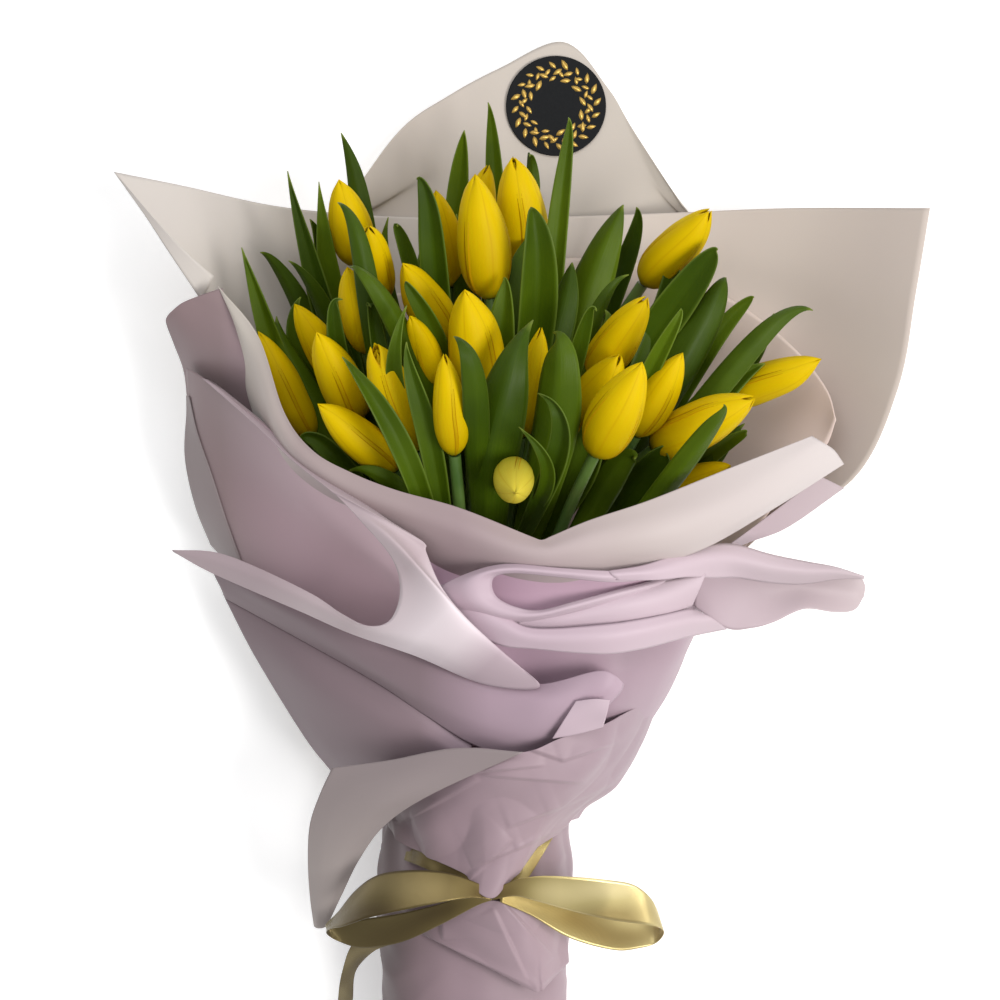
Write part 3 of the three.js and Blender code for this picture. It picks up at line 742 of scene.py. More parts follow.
# %% Grow the blooms
YOUNG_BUD = 18
BLOOM_FULL = 0.97
SWAY_SCALE = 45
SWAY_REACH = 0.9 * MM
random.seed(26)
noise.seed_set(26)
for number, bloom in enumerate(BLOOMS, 1):
    base, tip = bloom_axis(bloom)
    long = float(np.linalg.norm(tip - base))
    aim = Vector(tip - base).to_track_quat("Z", "Y") @ Quaternion((0, 0, 1), random.uniform(0, 2 * math.pi))
    made = grown(f"bloom_{number:02d}", BLOOM_TREE, {
        "Outer Petal": petals["outer", bloom[7]],
        "Inner Petal": petals["inner", bloom[7]],
        "Size": [bloom[6] * MM * BLOOM_FULL, bloom[6] * MM * BLOOM_FULL, long * MM],
        "Place": list(placed(base)),
        "Facing": list(aim.to_euler()),
        "Skin": YOUNG_PETAL if number == YOUNG_BUD else PETAL,
    })
    for vertex in made.data.vertices:
        sway = noise.noise_vector(vertex.co * SWAY_SCALE + Vector((number, 0, 0)))
        vertex.co += sway * SWAY_REACH
    settle(made, "petals", f"tulip_{number:02d}_bloom")
for shape in petals.values():
    bpy.data.objects.remove(shape)
print("blooms grown")

# %% [markdown]
# ## Stems and leaves
# Each stem runs from its cut end through the tie and fans out to its bloom. The tie holds the stems in
# layers, and the lowest blooms have the lowest places in it. A Geometry Nodes tree sweeps a round section
# along each stem's line. Leaves clasp the stem and run up beside the bloom: a tulip leaf is a long
# channelled blade that narrows to a point, so each one is a strip along a curve with its edges raised.

# %% Lines of the stems
STEM_WIDE = 6.0
STEM_PITCH = 7.4
LAYER_PITCH = STEM_PITCH * 0.87
STEM_ROWS = (3, 5, 5, 5, 5, 3)
CUT_END_Y = -66.0
CUT_SPREAD = 1.15
TIE = np.array([-12.0, 62.0, 33.0])
STEM_RUN = 90.0
axes = [bloom_axis(bloom) for bloom in BLOOMS]


def tie_places():
    """Each tulip's place in the tie, layer by layer from the table up and left to right in a layer."""
    order = sorted(range(len(axes)), key=lambda i: axes[i][0][2])
    places = {}
    for layer, count in enumerate(STEM_ROWS):
        row = sorted(order[:count], key=lambda i: axes[i][0][0])
        order = order[count:]
        for k, tulip in enumerate(row):
            x = TIE[0] + (k - (count - 1) / 2 + (0.25 if layer % 2 else -0.25)) * STEM_PITCH
            z = TIE[2] + (layer - (len(STEM_ROWS) - 1) / 2) * LAYER_PITCH
            places[tulip] = np.array([x, TIE[1], z])
    return places


TIE_PLACES = tie_places()


def rise(tulip, shares):
    """Points on a stem between the tie and its bloom."""
    base, tip = axes[tulip]
    along = (tip - base) / np.linalg.norm(tip - base)
    tied = TIE_PLACES[tulip]
    ends = [tied, tied + [0, STEM_RUN, 0], base - along * STEM_RUN * 0.7, base]
    t = np.asarray(shares, float).reshape(-1, 1)
    weights = [(1 - t) ** 3, 3 * t * (1 - t) ** 2, 3 * t**2 * (1 - t), t**3]
    return sum(w * end for w, end in zip(weights, ends))


def stem_line(tulip):
    tied = TIE_PLACES[tulip]
    cut = TIE + (tied - TIE) * CUT_SPREAD
    cut[1] = CUT_END_Y
    return smooth_line([cut, *rise(tulip, np.linspace(0, 1, 7))], 60)


first_stem = np.linalg.norm(np.diff(stem_line(0), axis=0), axis=1).sum()
print("the first stem is", round(float(first_stem)), "mm long")


# %% The tree that sweeps a stem
def stem_tree():
    tree, source, result = new_tree("stem", [
        ("Line", "Object", None), ("Radius", "Float", 0.003), ("Sides", "Int", 12),
        ("Skin", "Material", None),
    ])
    given = source.outputs
    guide = add(tree, "GeometryNodeObjectInfo", Object=given["Line"])
    line = add(tree, "GeometryNodeMeshToCurve", Mesh=guide.outputs["Geometry"])
    section = add(tree, "GeometryNodeCurvePrimitiveCircle", Radius=given["Radius"],
                  Resolution=given["Sides"])
    sweep = add(tree, "GeometryNodeCurveToMesh", Curve=line.outputs[0], Profile_Curve=section.outputs[0],
                Fill_Caps=True)
    return dressed(tree, source, result, sweep.outputs[0])


STEM_TREE = stem_tree()


def tinted(made, tint):
    """Each leaf and stem carries a tint of its own, which the leaf material reads."""
    mark = made.data.attributes.new("tint", "FLOAT", "POINT")
    mark.data.foreach_set("value", [tint] * len(made.data.vertices))


def stem_object(tulip):
    points = placed(stem_line(tulip))
    guide = mesh_object("stem_line", [], [])
    guide.data.from_pydata([tuple(p) for p in points], [(i, i + 1) for i in range(len(points) - 1)], [])
    made = grown(f"stem_{tulip + 1:02d}", STEM_TREE, {
        "Line": guide, "Radius": STEM_WIDE / 2 * MM, "Skin": STEM,
    })
    bpy.data.objects.remove(guide)
    for name in [layer.name for layer in made.data.uv_layers]:
        made.data.uv_layers.remove(made.data.uv_layers[name])
    made.data.uv_layers.new(name="UVMap")
    tinted(made, 0.5)
    for polygon in made.data.polygons:
        polygon.use_smooth = True
    return made


print("stem tree has", len(STEM_TREE.nodes), "nodes")

# %% Where the leaves are
# the tulip it grows from, its share of that stem, a point that it passes, its tip, its greatest width
LEAVES = [
    (0, 0.55, (-89, 347, 62), (-106, 414, 85), 12), (0, 0.6, (-82, 352, 54), (-91, 410, 70), 12),
    (1, 0.6, (-69, 387, 48), (-80, 435, 66), 11), (6, 0.5, (-107, 312, 72), (-129, 376, 84), 13),
    (6, 0.55, (-100, 340, 50), (-121, 375, 62), 11), (3, 0.6, (-85, 335, 72), (-105, 369, 92), 10),
    (2, 0.55, (-65, 356, 126), (-79, 395, 128), 11), (9, 0.5, (-52, 337, 134), (-73, 363, 138), 11),
    (3, 0.5, (-80, 322, 112), (-77, 348, 124), 9), (7, 0.6, (-60, 325, 116), (-63, 344, 128), 8),
    (15, 0.5, (-52, 281, 152), (-76, 319, 152), 11), (8, 0.55, (-48, 300, 136), (-45, 344, 150), 9),
    (15, 0.6, (-38, 287, 148), (-45, 326, 158), 11), (14, 0.5, (-13, 300, 164), (-22, 328, 168), 12),
    (16, 0.55, (-2, 290, 146), (16, 337, 144), 25), (16, 0.5, (28, 300, 148), (26, 331, 148), 22),
    (17, 0.5, (27, 275, 160), (18, 301, 166), 11), (17, 0.6, (21, 262, 150), (9, 285, 162), 7),
    (20, 0.5, (35, 320, 116), (47, 342, 130), 9), (13, 0.5, (17, 358, 106), (15, 394, 112), 19),
    (14, 0.6, (6, 342, 86), (18, 384, 74), 18), (18, 0.45, (31, 385, 82), (34, 440, 92), 10),
    (18, 0.5, (45, 352, 66), (62, 398, 74), 22), (19, 0.55, (62, 365, 46), (69, 398, 56), 10),
    (20, 0.6, (40, 328, 88), (64, 362, 92), 10), (19, 0.5, (88, 349, 84), (108, 374, 96), 18),
    (22, 0.5, (93, 326, 84), (113, 361, 80), 19), (24, 0.5, (107, 326, 60), (128, 352, 66), 10),
    (23, 0.5, (116, 318, 98), (155, 344, 96), 12), (25, 0.6, (107, 272, 90), (122, 283, 98), 8),
    (21, 0.5, (93, 270, 142), (108, 296, 150), 11), (22, 0.6, (76, 314, 128), (88, 343, 136), 9),
    (10, 0.6, (-20, 395, 48), (-18, 436, 66), 12), (12, 0.6, (-3, 405, 36), (-6, 451, 56), 9),
    (10, 0.5, (-33, 374, 98), (-41, 408, 108), 13), (9, 0.6, (-46, 364, 78), (-51, 386, 88), 8),
    (11, 0.6, (-36, 335, 126), (-46, 356, 136), 9), (5, 0.6, (-83, 271, 98), (-99, 278, 96), 10),
    (5, 0.55, (-52, 256, 122), (-75, 264, 118), 9), (4, 0.5, (-95, 300, 74), (-112, 342, 76), 13),
    (13, 0.6, (14, 400, 40), (15, 424, 54), 8), (25, 0.5, (70, 262, 100), (84, 274, 112), 16),
    (21, 0.6, (57, 262, 110), (66, 270, 122), 14), (1, 0.6, (-58, 345, 60), (-56, 392, 72), 14),
    (9, 0.5, (-38, 345, 70), (-32, 388, 74), 14), (7, 0.5, (-46, 305, 96), (-50, 342, 102), 14),
    (14, 0.5, (2, 322, 104), (2, 360, 106), 16), (16, 0.6, (26, 330, 92), (36, 368, 92), 17),
    (12, 0.6, (-18, 352, 62), (-22, 394, 66), 14), (22, 0.5, (78, 332, 74), (84, 372, 76), 17),
    (20, 0.5, (50, 306, 96), (52, 344, 100), 17), (24, 0.6, (116, 312, 62), (138, 344, 66), 13),
    (3, 0.5, (-94, 310, 66), (-100, 352, 72), 15), (4, 0.6, (-72, 302, 90), (-86, 338, 96), 14),
    (23, 0.6, (100, 292, 84), (132, 318, 88), 17), (25, 0.6, (94, 264, 84), (122, 288, 86), 15),
    (17, 0.5, (42, 272, 112), (50, 300, 118), 17), (17, 0.55, (-8, 268, 124), (-14, 296, 130), 15),
    (2, 0.5, (-84, 350, 50), (-96, 392, 58), 13),
]
LEAF_THICK = 0.6
LEAF_WIDER = 1.2
LEAF_PASS = 0.55
LEAF_FULLEST = 0.5
LEAF_SWAY = 2.2
LEAF_LONG_STEPS = 34
LEAF_SIDE_STEPS = 11


def leaf_object(name, leaf, fold, twist, tint):
    """A channelled blade from its stem past through to tip; fold is how far its edges rise."""
    tulip, up, through, tip, wide = leaf
    root = rise(tulip, [up])[0]
    middle, end = np.array(through, float), np.array(tip, float)
    pull = (middle - root * (1 - LEAF_PASS) ** 2 - end * LEAF_PASS**2) / (2 * LEAF_PASS * (1 - LEAF_PASS))
    t = np.linspace(0, 1, LEAF_LONG_STEPS)[:, None]
    spine = root * (1 - t) ** 2 + 2 * pull * t * (1 - t) + end * t**2
    along = np.gradient(spine, axis=0)
    along /= np.linalg.norm(along, axis=1, keepdims=True)
    across = np.cross([0, 0, 1], along)
    across /= np.linalg.norm(across, axis=1, keepdims=True)
    out = np.cross(along, across)
    early = 0.3 + 0.7 * np.sin(np.minimum(t / LEAF_FULLEST, 1) * math.pi / 2) ** 1.3
    ending = np.clip((t - LEAF_FULLEST) / (1 - LEAF_FULLEST), 0, 1)
    late = (1 - ending**1.6) * (1 - 0.35 * ending**3)
    width = LEAF_WIDER * wide * np.where(t < LEAF_FULLEST, early, late) / 2 + 0.12
    spine = spine + across * LEAF_SWAY * np.sin(t * math.pi) * np.sin(t * 5 + tint * 6)
    turn = twist * t**1.5
    flat = across * np.cos(turn) + out * np.sin(turn)
    lift = out * np.cos(turn) - across * np.sin(turn)
    grid = np.zeros((LEAF_LONG_STEPS, LEAF_SIDE_STEPS, 3))
    for k, side in enumerate(np.linspace(-1, 1, LEAF_SIDE_STEPS)):
        ripple = 0.05 * np.sin(t * 19 + 3 * side + tint * 9) * abs(side) ** 3
        raised = fold * (abs(side) ** 1.3 - 0.4) + ripple
        grid[:, k] = spine + flat * width * side * (1 - 0.3 * abs(fold)) + lift * width * raised
    made = thickened(grid_object(name, grid), LEAF_THICK)
    tinted(made, tint)
    made.data.materials.append(LEAF)
    return made


print(len(LEAVES), "leaves")

# %% Grow the greenery
random.seed(7)
for tulip in range(len(BLOOMS)):
    parts = [stem_object(tulip)]
    for leaf in LEAVES:
        if leaf[0] == tulip:
            fold = random.choice((-1, 1, 1)) * random.uniform(0.35, 0.6)
            parts.append(leaf_object("leaf", leaf, fold, random.uniform(-0.9, 0.9), random.random()))
    greenery = joined(f"greenery_{tulip + 1:02d}", parts)
    settle(greenery, "greenery", f"tulip_{tulip + 1:02d}_stem_and_leaves")
print("stems and leaves grown")

# %% [markdown]
# ## The wrap
# Florist film is a thin plastic sheet that bends easily one way at a time, so it makes cones, rolls and
# sharp folds and never a bowl. A cloth simulation would crumple it at random; here the folds are the
# subject, so each sheet is drawn instead: a few guide lines run across it, the surface passes smoothly
# through them, and two guide lines close together make a crease. Every piece is then given the thickness
# of film.

# %% From guide lines to a film piece
FILM_THICK = 0.35


def in_line_of_sight(grid):
    """The film is drawn as seen from above; each point moves along its line of sight to its height."""
    share = (VIEW_HEIGHT + VIEW_LEVEL - grid[:, :, 2:] * MM) / VIEW_HEIGHT
    centre = np.array(VIEW_CENTRE)
    return np.concatenate([centre + (grid[:, :, :2] - centre) * share, grid[:, :, 2:]], axis=2)


def sheet_piece(name, grid, finish, held, rests_on, *nodes):
    """A thin sheet through a grid of points; finish is its material, slot and thickness."""
    material, slot, thickness = finish
    grid = in_line_of_sight(grid)
    piece = thickened(grid_object(name, grid), thickness)
    piece.data.materials.append(material)
    settle(piece, slot, *nodes)


def film_piece(name, grid, material, held, rests_on, *nodes):
    sheet_piece(name, grid, (material, "film", FILM_THICK), held, rests_on, *nodes)


# %% [markdown]
# ### Two sheets behind the heads
# The back sheet is turned so that one of its corners stands up behind the heads, and the wide sheet lies
# over it with its corners out to the left and the right. Both come up at the sides to hold the bunch, so
# each guide line below is a shallow trough, and the last line is the free edge of the sheet.

# %% Back sheet and wide sheet
back_grid = surface([
    [(-58, 96, 28), (-47, 95, 9), (-28, 94, 0.6), (-12, 93, 0.6), (6, 94, 0.6), (24, 95, 8), (36, 96, 26)],
    [(-86, 150, 18), (-70, 150, 8), (-48, 150, 0.6), (-5, 150, 0.6), (30, 150, 0.6), (54, 150, 11),
     (66, 150, 30)],
    [(-124, 260, 18), (-100, 260, 8), (-62, 260, 0.6), (5, 260, 0.6), (62, 260, 0.6), (108, 260, 9),
     (136, 258, 30)],
    [(-124, 352, 28), (-100, 366, 9), (-52, 380, 0.6), (15, 386, 0.6), (70, 376, 0.6), (112, 362, 6),
     (140, 344, 24)],
    [(-92, 385, 20), (-60, 400, 7), (-22, 424, 1.2), (24, 436, 0.8), (62, 424, 1), (86, 398, 4),
     (110, 376, 12)],
    [(-76, 400, 14), (-50, 435, 6), (-26, 452, 2.4), (0, 466, 1), (32, 479, 0.8), (54, 456, 1),
     (66, 436, 2), (91, 397, 8)],
], 90, 90)
film_piece("back_film", back_grid, BACK_FILM, "laid", ["round_seal"], "back_sheet")

wide_grid = surface([
    [(-53, 98, 34), (-42, 97, 15), (-26, 96, 6), (-12, 96, 5), (4, 96, 6), (19, 97, 14), (31, 98, 32)],
    [(-90, 150, 22), (-72, 150, 14), (-44, 150, 7), (-5, 150, 4), (28, 150, 7), (52, 150, 18),
     (66, 150, 38)],
    [(-118, 196, 22), (-92, 196, 14), (-52, 196, 7), (0, 196, 4), (44, 196, 7), (76, 194, 20),
     (94, 192, 46)],
    [(-130, 236, 24), (-100, 240, 15), (-58, 244, 8), (5, 246, 5), (62, 244, 8), (108, 236, 24),
     (131, 233, 56)],
    [(-136, 300, 34), (-104, 300, 18), (-60, 300, 8), (5, 300, 5), (72, 300, 8), (136, 272, 28),
     (177, 261, 66)],
    [(-148, 348, 62), (-110, 350, 28), (-60, 350, 9), (5, 350, 5), (72, 350, 9), (140, 340, 32),
     (199, 306, 76)],
    [(-166, 376, 84), (-126, 378, 46), (-66, 374, 12), (0, 374, 6), (72, 374, 11), (142, 370, 38),
     (208, 354, 82)],
    [(-193, 414, 92), (-158, 407, 70), (-112, 397, 34), (-60, 392, 11), (0, 391, 5), (70, 393, 10),
     (146, 396, 42),
     (215, 396, 84)],
], 110, 110)
film_piece("wide_film", wide_grid, WIDE_FILM, "laid", ["back_film"], "wide_sheet")

inner_grid = surface([
    [(-40, 150, 10), (-5, 150, 8), (30, 150, 11), (58, 152, 24), (76, 156, 46)],
    [(-50, 250, 12), (5, 250, 9), (62, 250, 12), (104, 250, 30), (136, 246, 64)],
    [(-56, 310, 13), (5, 316, 9), (70, 312, 13), (120, 296, 34), (161, 274, 72)],
    [(-58, 352, 14), (-10, 362, 10), (34, 371, 10), (76, 367, 14), (116, 350, 30), (146, 327, 52),
     (163, 306, 68),
     (168, 290, 78)],
], 70, 80)
film_piece("inner_film", inner_grid, INNER_FILM, "laid", ["wide_film"], "wide_sheet")

hem_grid = surface([
    [(-192.5, 413.6, 93), (-190, 411, 94)],
    [(-178, 393, 89), (-173, 391, 91)],
    [(-165, 373, 85), (-159, 376, 87)],
    [(-149, 349, 76), (-143, 362, 78)],
], 40, 8)
film_piece("wide_film_hem", hem_grid, WIDE_FILM, "folded", ["wide_film"], "wide_sheet")

# %% [markdown]
# ### The left side: a lobe, a panel and a rolled cone
# On the left the film leans back over itself. Its far end stands up as a rounded lobe, its free edge
# sweeps down to the middle, and the near end rolls outwards into a long cone with its mouth to the upper
# left. The dark panel is the inside of that cone, and the pale band is its outside; their dark and pale are
# painted shade and a painted highlight in the film's colour.

# %% Left side
lobe_grid = surface([
    [(-156, 296, 34), (-147, 290, 44), (-128, 284, 58), (-108, 282, 72)],
    [(-158, 314, 46), (-149, 308, 58), (-130, 302, 72), (-112, 298, 84)],
    [(-163, 328, 58), (-154, 326, 70), (-138, 322, 82), (-120, 312, 92)],
    [(-167, 339, 70), (-160, 342, 78), (-146, 345, 84), (-130, 336, 88)],
    [(-165.5, 343, 77), (-159, 348.5, 82), (-148, 353, 86), (-139, 356, 88)],
], 60, 40)
film_piece("left_lobe", lobe_grid, PANEL_FILM, "draped", ["wide_film"], "left_sheet")

panel_grid = surface([
    [(-144, 228, 20), (-130, 214, 34), (-108, 202, 48), (-90, 194, 56), (-72, 186, 64), (-54, 180, 74)],
    [(-152, 248, 34), (-138, 240, 46), (-112, 228, 58), (-92, 218, 66), (-72, 206, 74), (-50, 196, 86)],
    [(-157, 272, 42), (-142, 268, 56), (-116, 254, 68), (-92, 238, 78), (-68, 220, 86), (-47, 204, 100)],
    [(-156, 296, 50), (-147, 293, 66), (-120, 274, 84), (-95, 253, 98), (-68, 230, 110), (-46, 208, 122)],
    [(-157, 316, 62), (-149, 311.5, 75), (-124, 292.5, 101), (-101, 273, 119), (-70.5, 249, 137),
     (-50, 226, 146),
     (-40, 206, 148)],
], 70, 80)
film_piece("left_panel", panel_grid, PANEL_FILM, "draped", ["left_lobe"], "left_sheet")

strip_grid = edge_layer(panel_grid, rows=58, shares=(0.25, 0.02), columns=14, lift=0.8)
film_piece("left_panel_fold", strip_grid, FLAP_FILM, "folded", ["left_panel"], "left_sheet")

cone_grid = surface([
    [(-164, 225, 64), (-163.5, 224.4, 64.5), (-163, 224, 64)],
    [(-143, 224, 76), (-145, 220, 76), (-147, 215, 71)],
    [(-123, 217, 90), (-125, 212, 89), (-127, 206, 82)],
    [(-94, 203, 110), (-96.5, 199, 109), (-99, 194, 100)],
    [(-79, 193, 122), (-76.5, 188.5, 121), (-74, 183, 112)],
    [(-66, 187, 131), (-54, 181, 133), (-42, 172, 121)],
    [(-55, 190, 140), (-32, 178, 148), (-8, 158, 127)],
    [(-50, 204, 148), (-20, 187, 160), (20, 157, 134)],
    [(-54, 221, 150), (-30, 204, 163), (-3, 176, 149)],
    [(-70, 240, 147), (-48, 225, 158), (-27, 203, 154)],
    [(-81, 251.5, 140), (-59, 238, 150), (-36.5, 223, 151)],
    [(-84, 254, 138.5), (-62, 242, 148.5), (-37, 227.5, 151)],
    [(-87, 256.5, 137), (-65, 244.5, 147), (-42, 231.5, 149.5)],
    [(-104, 270, 124), (-82, 258, 132), (-60, 243, 141)],
    [(-124, 289, 105), (-112, 282, 111), (-98, 273, 116)],
    [(-149, 311, 78), (-146, 310, 80), (-142, 308, 79)],
], 130, 40)
film_piece("left_cone", cone_grid, CONE_FILM, "folded", ["left_panel"], "left_sheet")

# %% [markdown]
# ### The collar round the flowers
# One sheet stands up close round the flowers. Its rim comes down from the left lobe to the lowest point in
# front, makes a sharp corner there, and climbs to the right as a straight band. Its hem shows below that.

# %% Collar
collar_grid = surface([
    [(-141, 357, 88), (-121, 332, 100), (-108, 294, 118), (-94, 275, 130), (-75, 264, 138), (-52, 255, 146),
     (-20, 246, 155), (16, 231.5, 160), (21, 230, 161), (26, 232, 161), (45, 240, 160), (75, 250, 156),
     (115, 266, 142), (156, 282, 118)],
    [(-135, 344, 88), (-124, 318, 98), (-113, 286, 114), (-99, 268, 126), (-74, 252, 138), (-46, 242, 149),
     (-14, 231, 159), (18, 223, 164), (48, 231, 164), (84, 240, 159), (122, 254, 144), (161, 279, 117)],
    [(-130, 332, 76), (-126, 302, 78), (-116, 280, 86), (-99, 260, 98), (-70, 240, 112), (-40, 224, 136),
     (-8, 215, 148), (20, 214, 156), (50, 221, 160), (90, 230, 155), (130, 246, 137), (167, 275, 111)],
    [(-124, 326, 56), (-120, 296, 56), (-110, 276, 60), (-94, 256, 68), (-66, 236, 82), (-34, 212, 118),
     (0, 205, 132), (24, 204, 142), (52, 210, 147), (98, 224, 143), (134, 244, 124), (172, 268, 103)],
], 60, 220)
film_piece("collar_and_band", collar_grid, COLLAR_FILM, "draped", ["left_cone"], "left_sheet",
           "right_sheet")

under_grid = surface([
    [(92, 214, 98), (112, 226, 104), (134, 242, 100), (160, 262, 90)],
    [(90, 208, 86), (119, 226.5, 92), (143, 236, 86), (172, 256, 78)],
], 16, 40)
film_piece("right_hem", under_grid, TONGUE_FILM, "folded", ["wide_film"], "right_sheet")

# %% [markdown]
# ### The front: body, rolls and pockets
# In front the film is drawn together towards the tie. Its upper edge rolls over three times and leaves
# narrow pockets between the rolls, and one end reaches out to the right as a flat tongue. Each roll is a
# band that arches from one edge to the other and ends just above the sheet behind it.

# %% The body of the front
body_grid = surface([
    [(-40, 222, 134), (5, 214, 142), (52, 214, 144), (98, 214, 120), (105, 208, 96), (102, 206, 66),
     (90, 206, 36)],
    [(-42, 196, 122), (5, 196, 132), (54, 196, 136), (92, 194, 112), (99, 188, 84), (95, 188, 56),
     (82, 188, 30)],
    [(-42, 178, 108), (5, 174, 116), (50, 175, 130), (86, 174, 110), (93, 174, 78), (89, 174, 52),
     (74, 174, 26)],
    [(-40, 164, 100), (10, 160, 110), (52, 163, 128), (80, 162, 108), (89, 164, 74), (84, 164, 48),
     (68, 164, 24)],
    [(-36, 146, 96), (12, 143, 106), (52, 148, 122), (74, 148, 100), (82, 150, 70), (77, 150, 46),
     (60, 150, 20)],
    [(-34, 124, 86), (6, 120, 96), (44, 124, 100), (62, 126, 84), (68, 128, 64), (62, 128, 40),
     (48, 128, 16)],
], 90, 110)
film_piece("front_body", body_grid, BODY_FILM, "gathered", ["left_cone"], "front_sheet")

pocket_grid = surface([
    [(-10, 215, 150), (20, 216, 153), (60, 214, 151), (98, 220, 136)],
    [(-8, 204, 143), (20, 203, 146), (60, 208, 146), (97, 215, 133)],
    [(0, 195, 142), (20, 193, 144), (60, 202, 144), (94, 209, 131)],
], 30, 60)
# the pocket's dark colour is painted shade
film_piece("pocket_inside", pocket_grid, POCKET_SHADE_FILM, "folded", ["front_body"], "front_sheet")

rolls = {
    "pocket_rim": [
        [(94, 213, 130), (95, 216, 132), (96, 220, 130)], [(76, 210.5, 145), (77, 213, 147),
        (78, 216, 145)],
        [(56, 209, 157), (56, 211.5, 160), (57, 214.5, 158)], [(30, 211.5, 160), (30, 213.5, 163),
        (30, 216, 161)],
        [(8, 213.5, 160), (6, 215.5, 163), (3, 218, 159)], [(-2, 212, 159), (-9, 213, 162),
        (-17, 213, 156)],
        [(-4, 207, 158), (-16, 207, 160), (-31, 205, 148)], [(-1, 201, 156), (-13, 199, 158),
        (-27, 196, 146)],
        [(8, 196.5, 155), (1, 193, 156), (-7, 189, 147)], [(20, 195, 154), (18, 192.3, 156),
        (15, 189, 150)],
        [(38, 199.5, 154), (38, 197, 156), (37, 194, 152)], [(62, 206, 149), (63, 204, 151),
        (64, 201, 148)],
        [(92, 214, 136), (92, 211.5, 138), (92, 209, 135)],
    ],
    "middle_roll": [
        [(12, 193, 150), (10, 190, 151), (8, 186, 148)], [(34, 197, 151), (34, 191, 152), (32, 185, 148)],
        [(58, 204, 148), (60, 197, 151), (60, 187, 147)], [(80, 209, 143), (81, 201, 145), (82, 191, 140)],
        [(103, 213, 136), (100, 206, 136), (96, 197, 131)],
    ],
    "lower_roll": [
        [(-33, 208, 140), (-34, 203, 142), (-36, 197, 137)], [(-16, 206, 151), (-18, 198, 152),
        (-20, 189, 146)],
        [(1, 194, 152), (0, 187, 154), (-2, 178, 148)], [(16, 186, 152), (17, 181, 154), (18, 175.5, 149)],
        [(50, 187.5, 152), (50, 181, 154), (50, 173, 148)], [(74, 191, 146), (73, 184, 148),
        (71, 175.5, 141)],
        [(92, 195, 136), (94, 189, 138), (94, 181.5, 129)], [(97, 195.5, 130), (106, 191, 130),
        (113.5, 185.5, 118)],
    ],
}
for name, guides in rolls.items():
    film_piece(name, surface(guides, 100, 14), ROLL_FILM, "folded", ["front_body"], "front_sheet")

tongue_grid = surface([
    [(97, 226, 128), (98, 212, 122), (97, 197, 114)],
    [(112, 227, 122), (113, 208, 112), (113, 186, 108)],
    [(124, 225, 117), (125, 207, 106), (126, 186, 106)],
    [(136, 222, 112), (136, 206, 101), (137, 189, 104)],
    [(150, 219, 108), (151, 207, 98), (152, 195.5, 102)],
    [(165, 216, 104), (166, 205, 96), (167, 194, 99)],
    [(176, 214, 100), (178, 204, 94), (177, 195, 95)],
    [(181, 211, 95), (182.5, 207, 91), (182, 202, 91)],
], 80, 30)
film_piece("right_tongue", tongue_grid, TONGUE_FILM, "draped", ["front_body"], "front_sheet")

tongue_rim = surface([
    [(54, 214.5, 159), (56, 212.5, 160.5), (58, 210, 158)],
    [(72, 217.5, 154), (75, 214, 156), (78, 210, 152)],
    [(88, 223, 145), (91, 217.5, 147), (94, 211.5, 142)],
    [(103, 227.5, 136), (105, 220, 139), (107, 211, 131)],
    [(117, 228, 128), (118, 220, 132), (119, 211, 122)],
    [(135, 223, 121), (136, 216, 124), (136, 208.5, 114)],
    [(152, 219.5, 115), (152, 214, 118), (152, 208, 108)],
    [(168, 216.5, 109), (168, 214, 111), (169, 210.5, 104)],
    [(182, 212, 99), (182, 211.4, 100), (182, 210.6, 97)],
], 70, 14)
film_piece("tongue_rim", tongue_rim, ROLL_FILM, "folded", ["right_tongue"], "front_sheet")

# %% [markdown]
# ### The lower left side, the flap and the gather
# Below the cone the film comes round from the left with one long crease in it. Its lower corner is turned
# down as a pointed flap, and under that the film is crushed together by the ribbon. The crushed part gets
# sharp creases from folded noise, pleats that run up from the tie, and a few long folds that step down.

# %% Lower left side
upper_grid = surface([
    [(-145, 219, 30), (-122, 208, 54), (-84, 192, 86), (-38, 176, 110), (0, 164, 118), (20, 158, 129),
     (48, 164.5, 138), (57, 162.5, 138), (62, 158, 132)],
    [(-143, 213, 33), (-116, 200, 64), (-78, 182, 94), (-38, 165, 115), (0, 153, 126), (22, 148, 134),
     (42, 152, 137), (53, 154, 137), (60.5, 154, 132)],
    [(-139.5, 206, 34), (-103, 188, 71), (-65, 166, 99), (-36, 151, 112), (-6, 138, 121), (14, 134, 126),
     (30, 139, 130), (42, 144, 132), (54, 147, 130)],
    [(-137.5, 201, 31), (-101, 181, 64), (-62, 159, 92), (-38, 143, 104), (-14, 128, 110), (8, 122, 114),
     (22, 127, 118), (34, 132, 119), (46, 138, 119)],
], 60, 130)
film_piece("lower_left_upper", upper_grid, LOWER_FILM, "draped", ["left_panel"], "left_sheet")

lower_grid = surface([
    [(-138.5, 203, 27), (-102, 184, 60), (-63, 162, 88), (-38, 147, 101), (-12, 131, 106)],
    [(-135.5, 197, 31), (-99, 175, 66), (-62, 153, 93), (-40, 139, 104), (-16, 123, 108)],
    [(-122, 171, 36), (-96, 157, 69), (-66, 142, 92), (-42, 131, 102), (-18, 119, 108)],
    [(-98, 132, 34), (-86, 128, 56), (-66, 122, 78), (-42, 116, 92), (-16, 110, 100)],
    [(-84, 114, 30), (-72, 110, 48), (-56, 106, 66), (-36, 102, 80), (-10, 100, 88)],
], 60, 80)
film_piece("lower_left", lower_grid, LOWER_FILM, "draped", ["lower_left_upper"], "left_sheet")

edge_grid = surface([
    [(38, 149.5, 138), (47, 150.5, 141), (55, 150, 140)],
    [(32, 140, 135), (43, 143, 137), (53.5, 143, 138)],
    [(26, 130.5, 129), (39, 133, 131), (51.5, 136.5, 132)],
], 30, 30)
film_piece("front_fold_edge", edge_grid, ROLL_FILM, "folded", ["lower_left_upper"], "front_sheet")

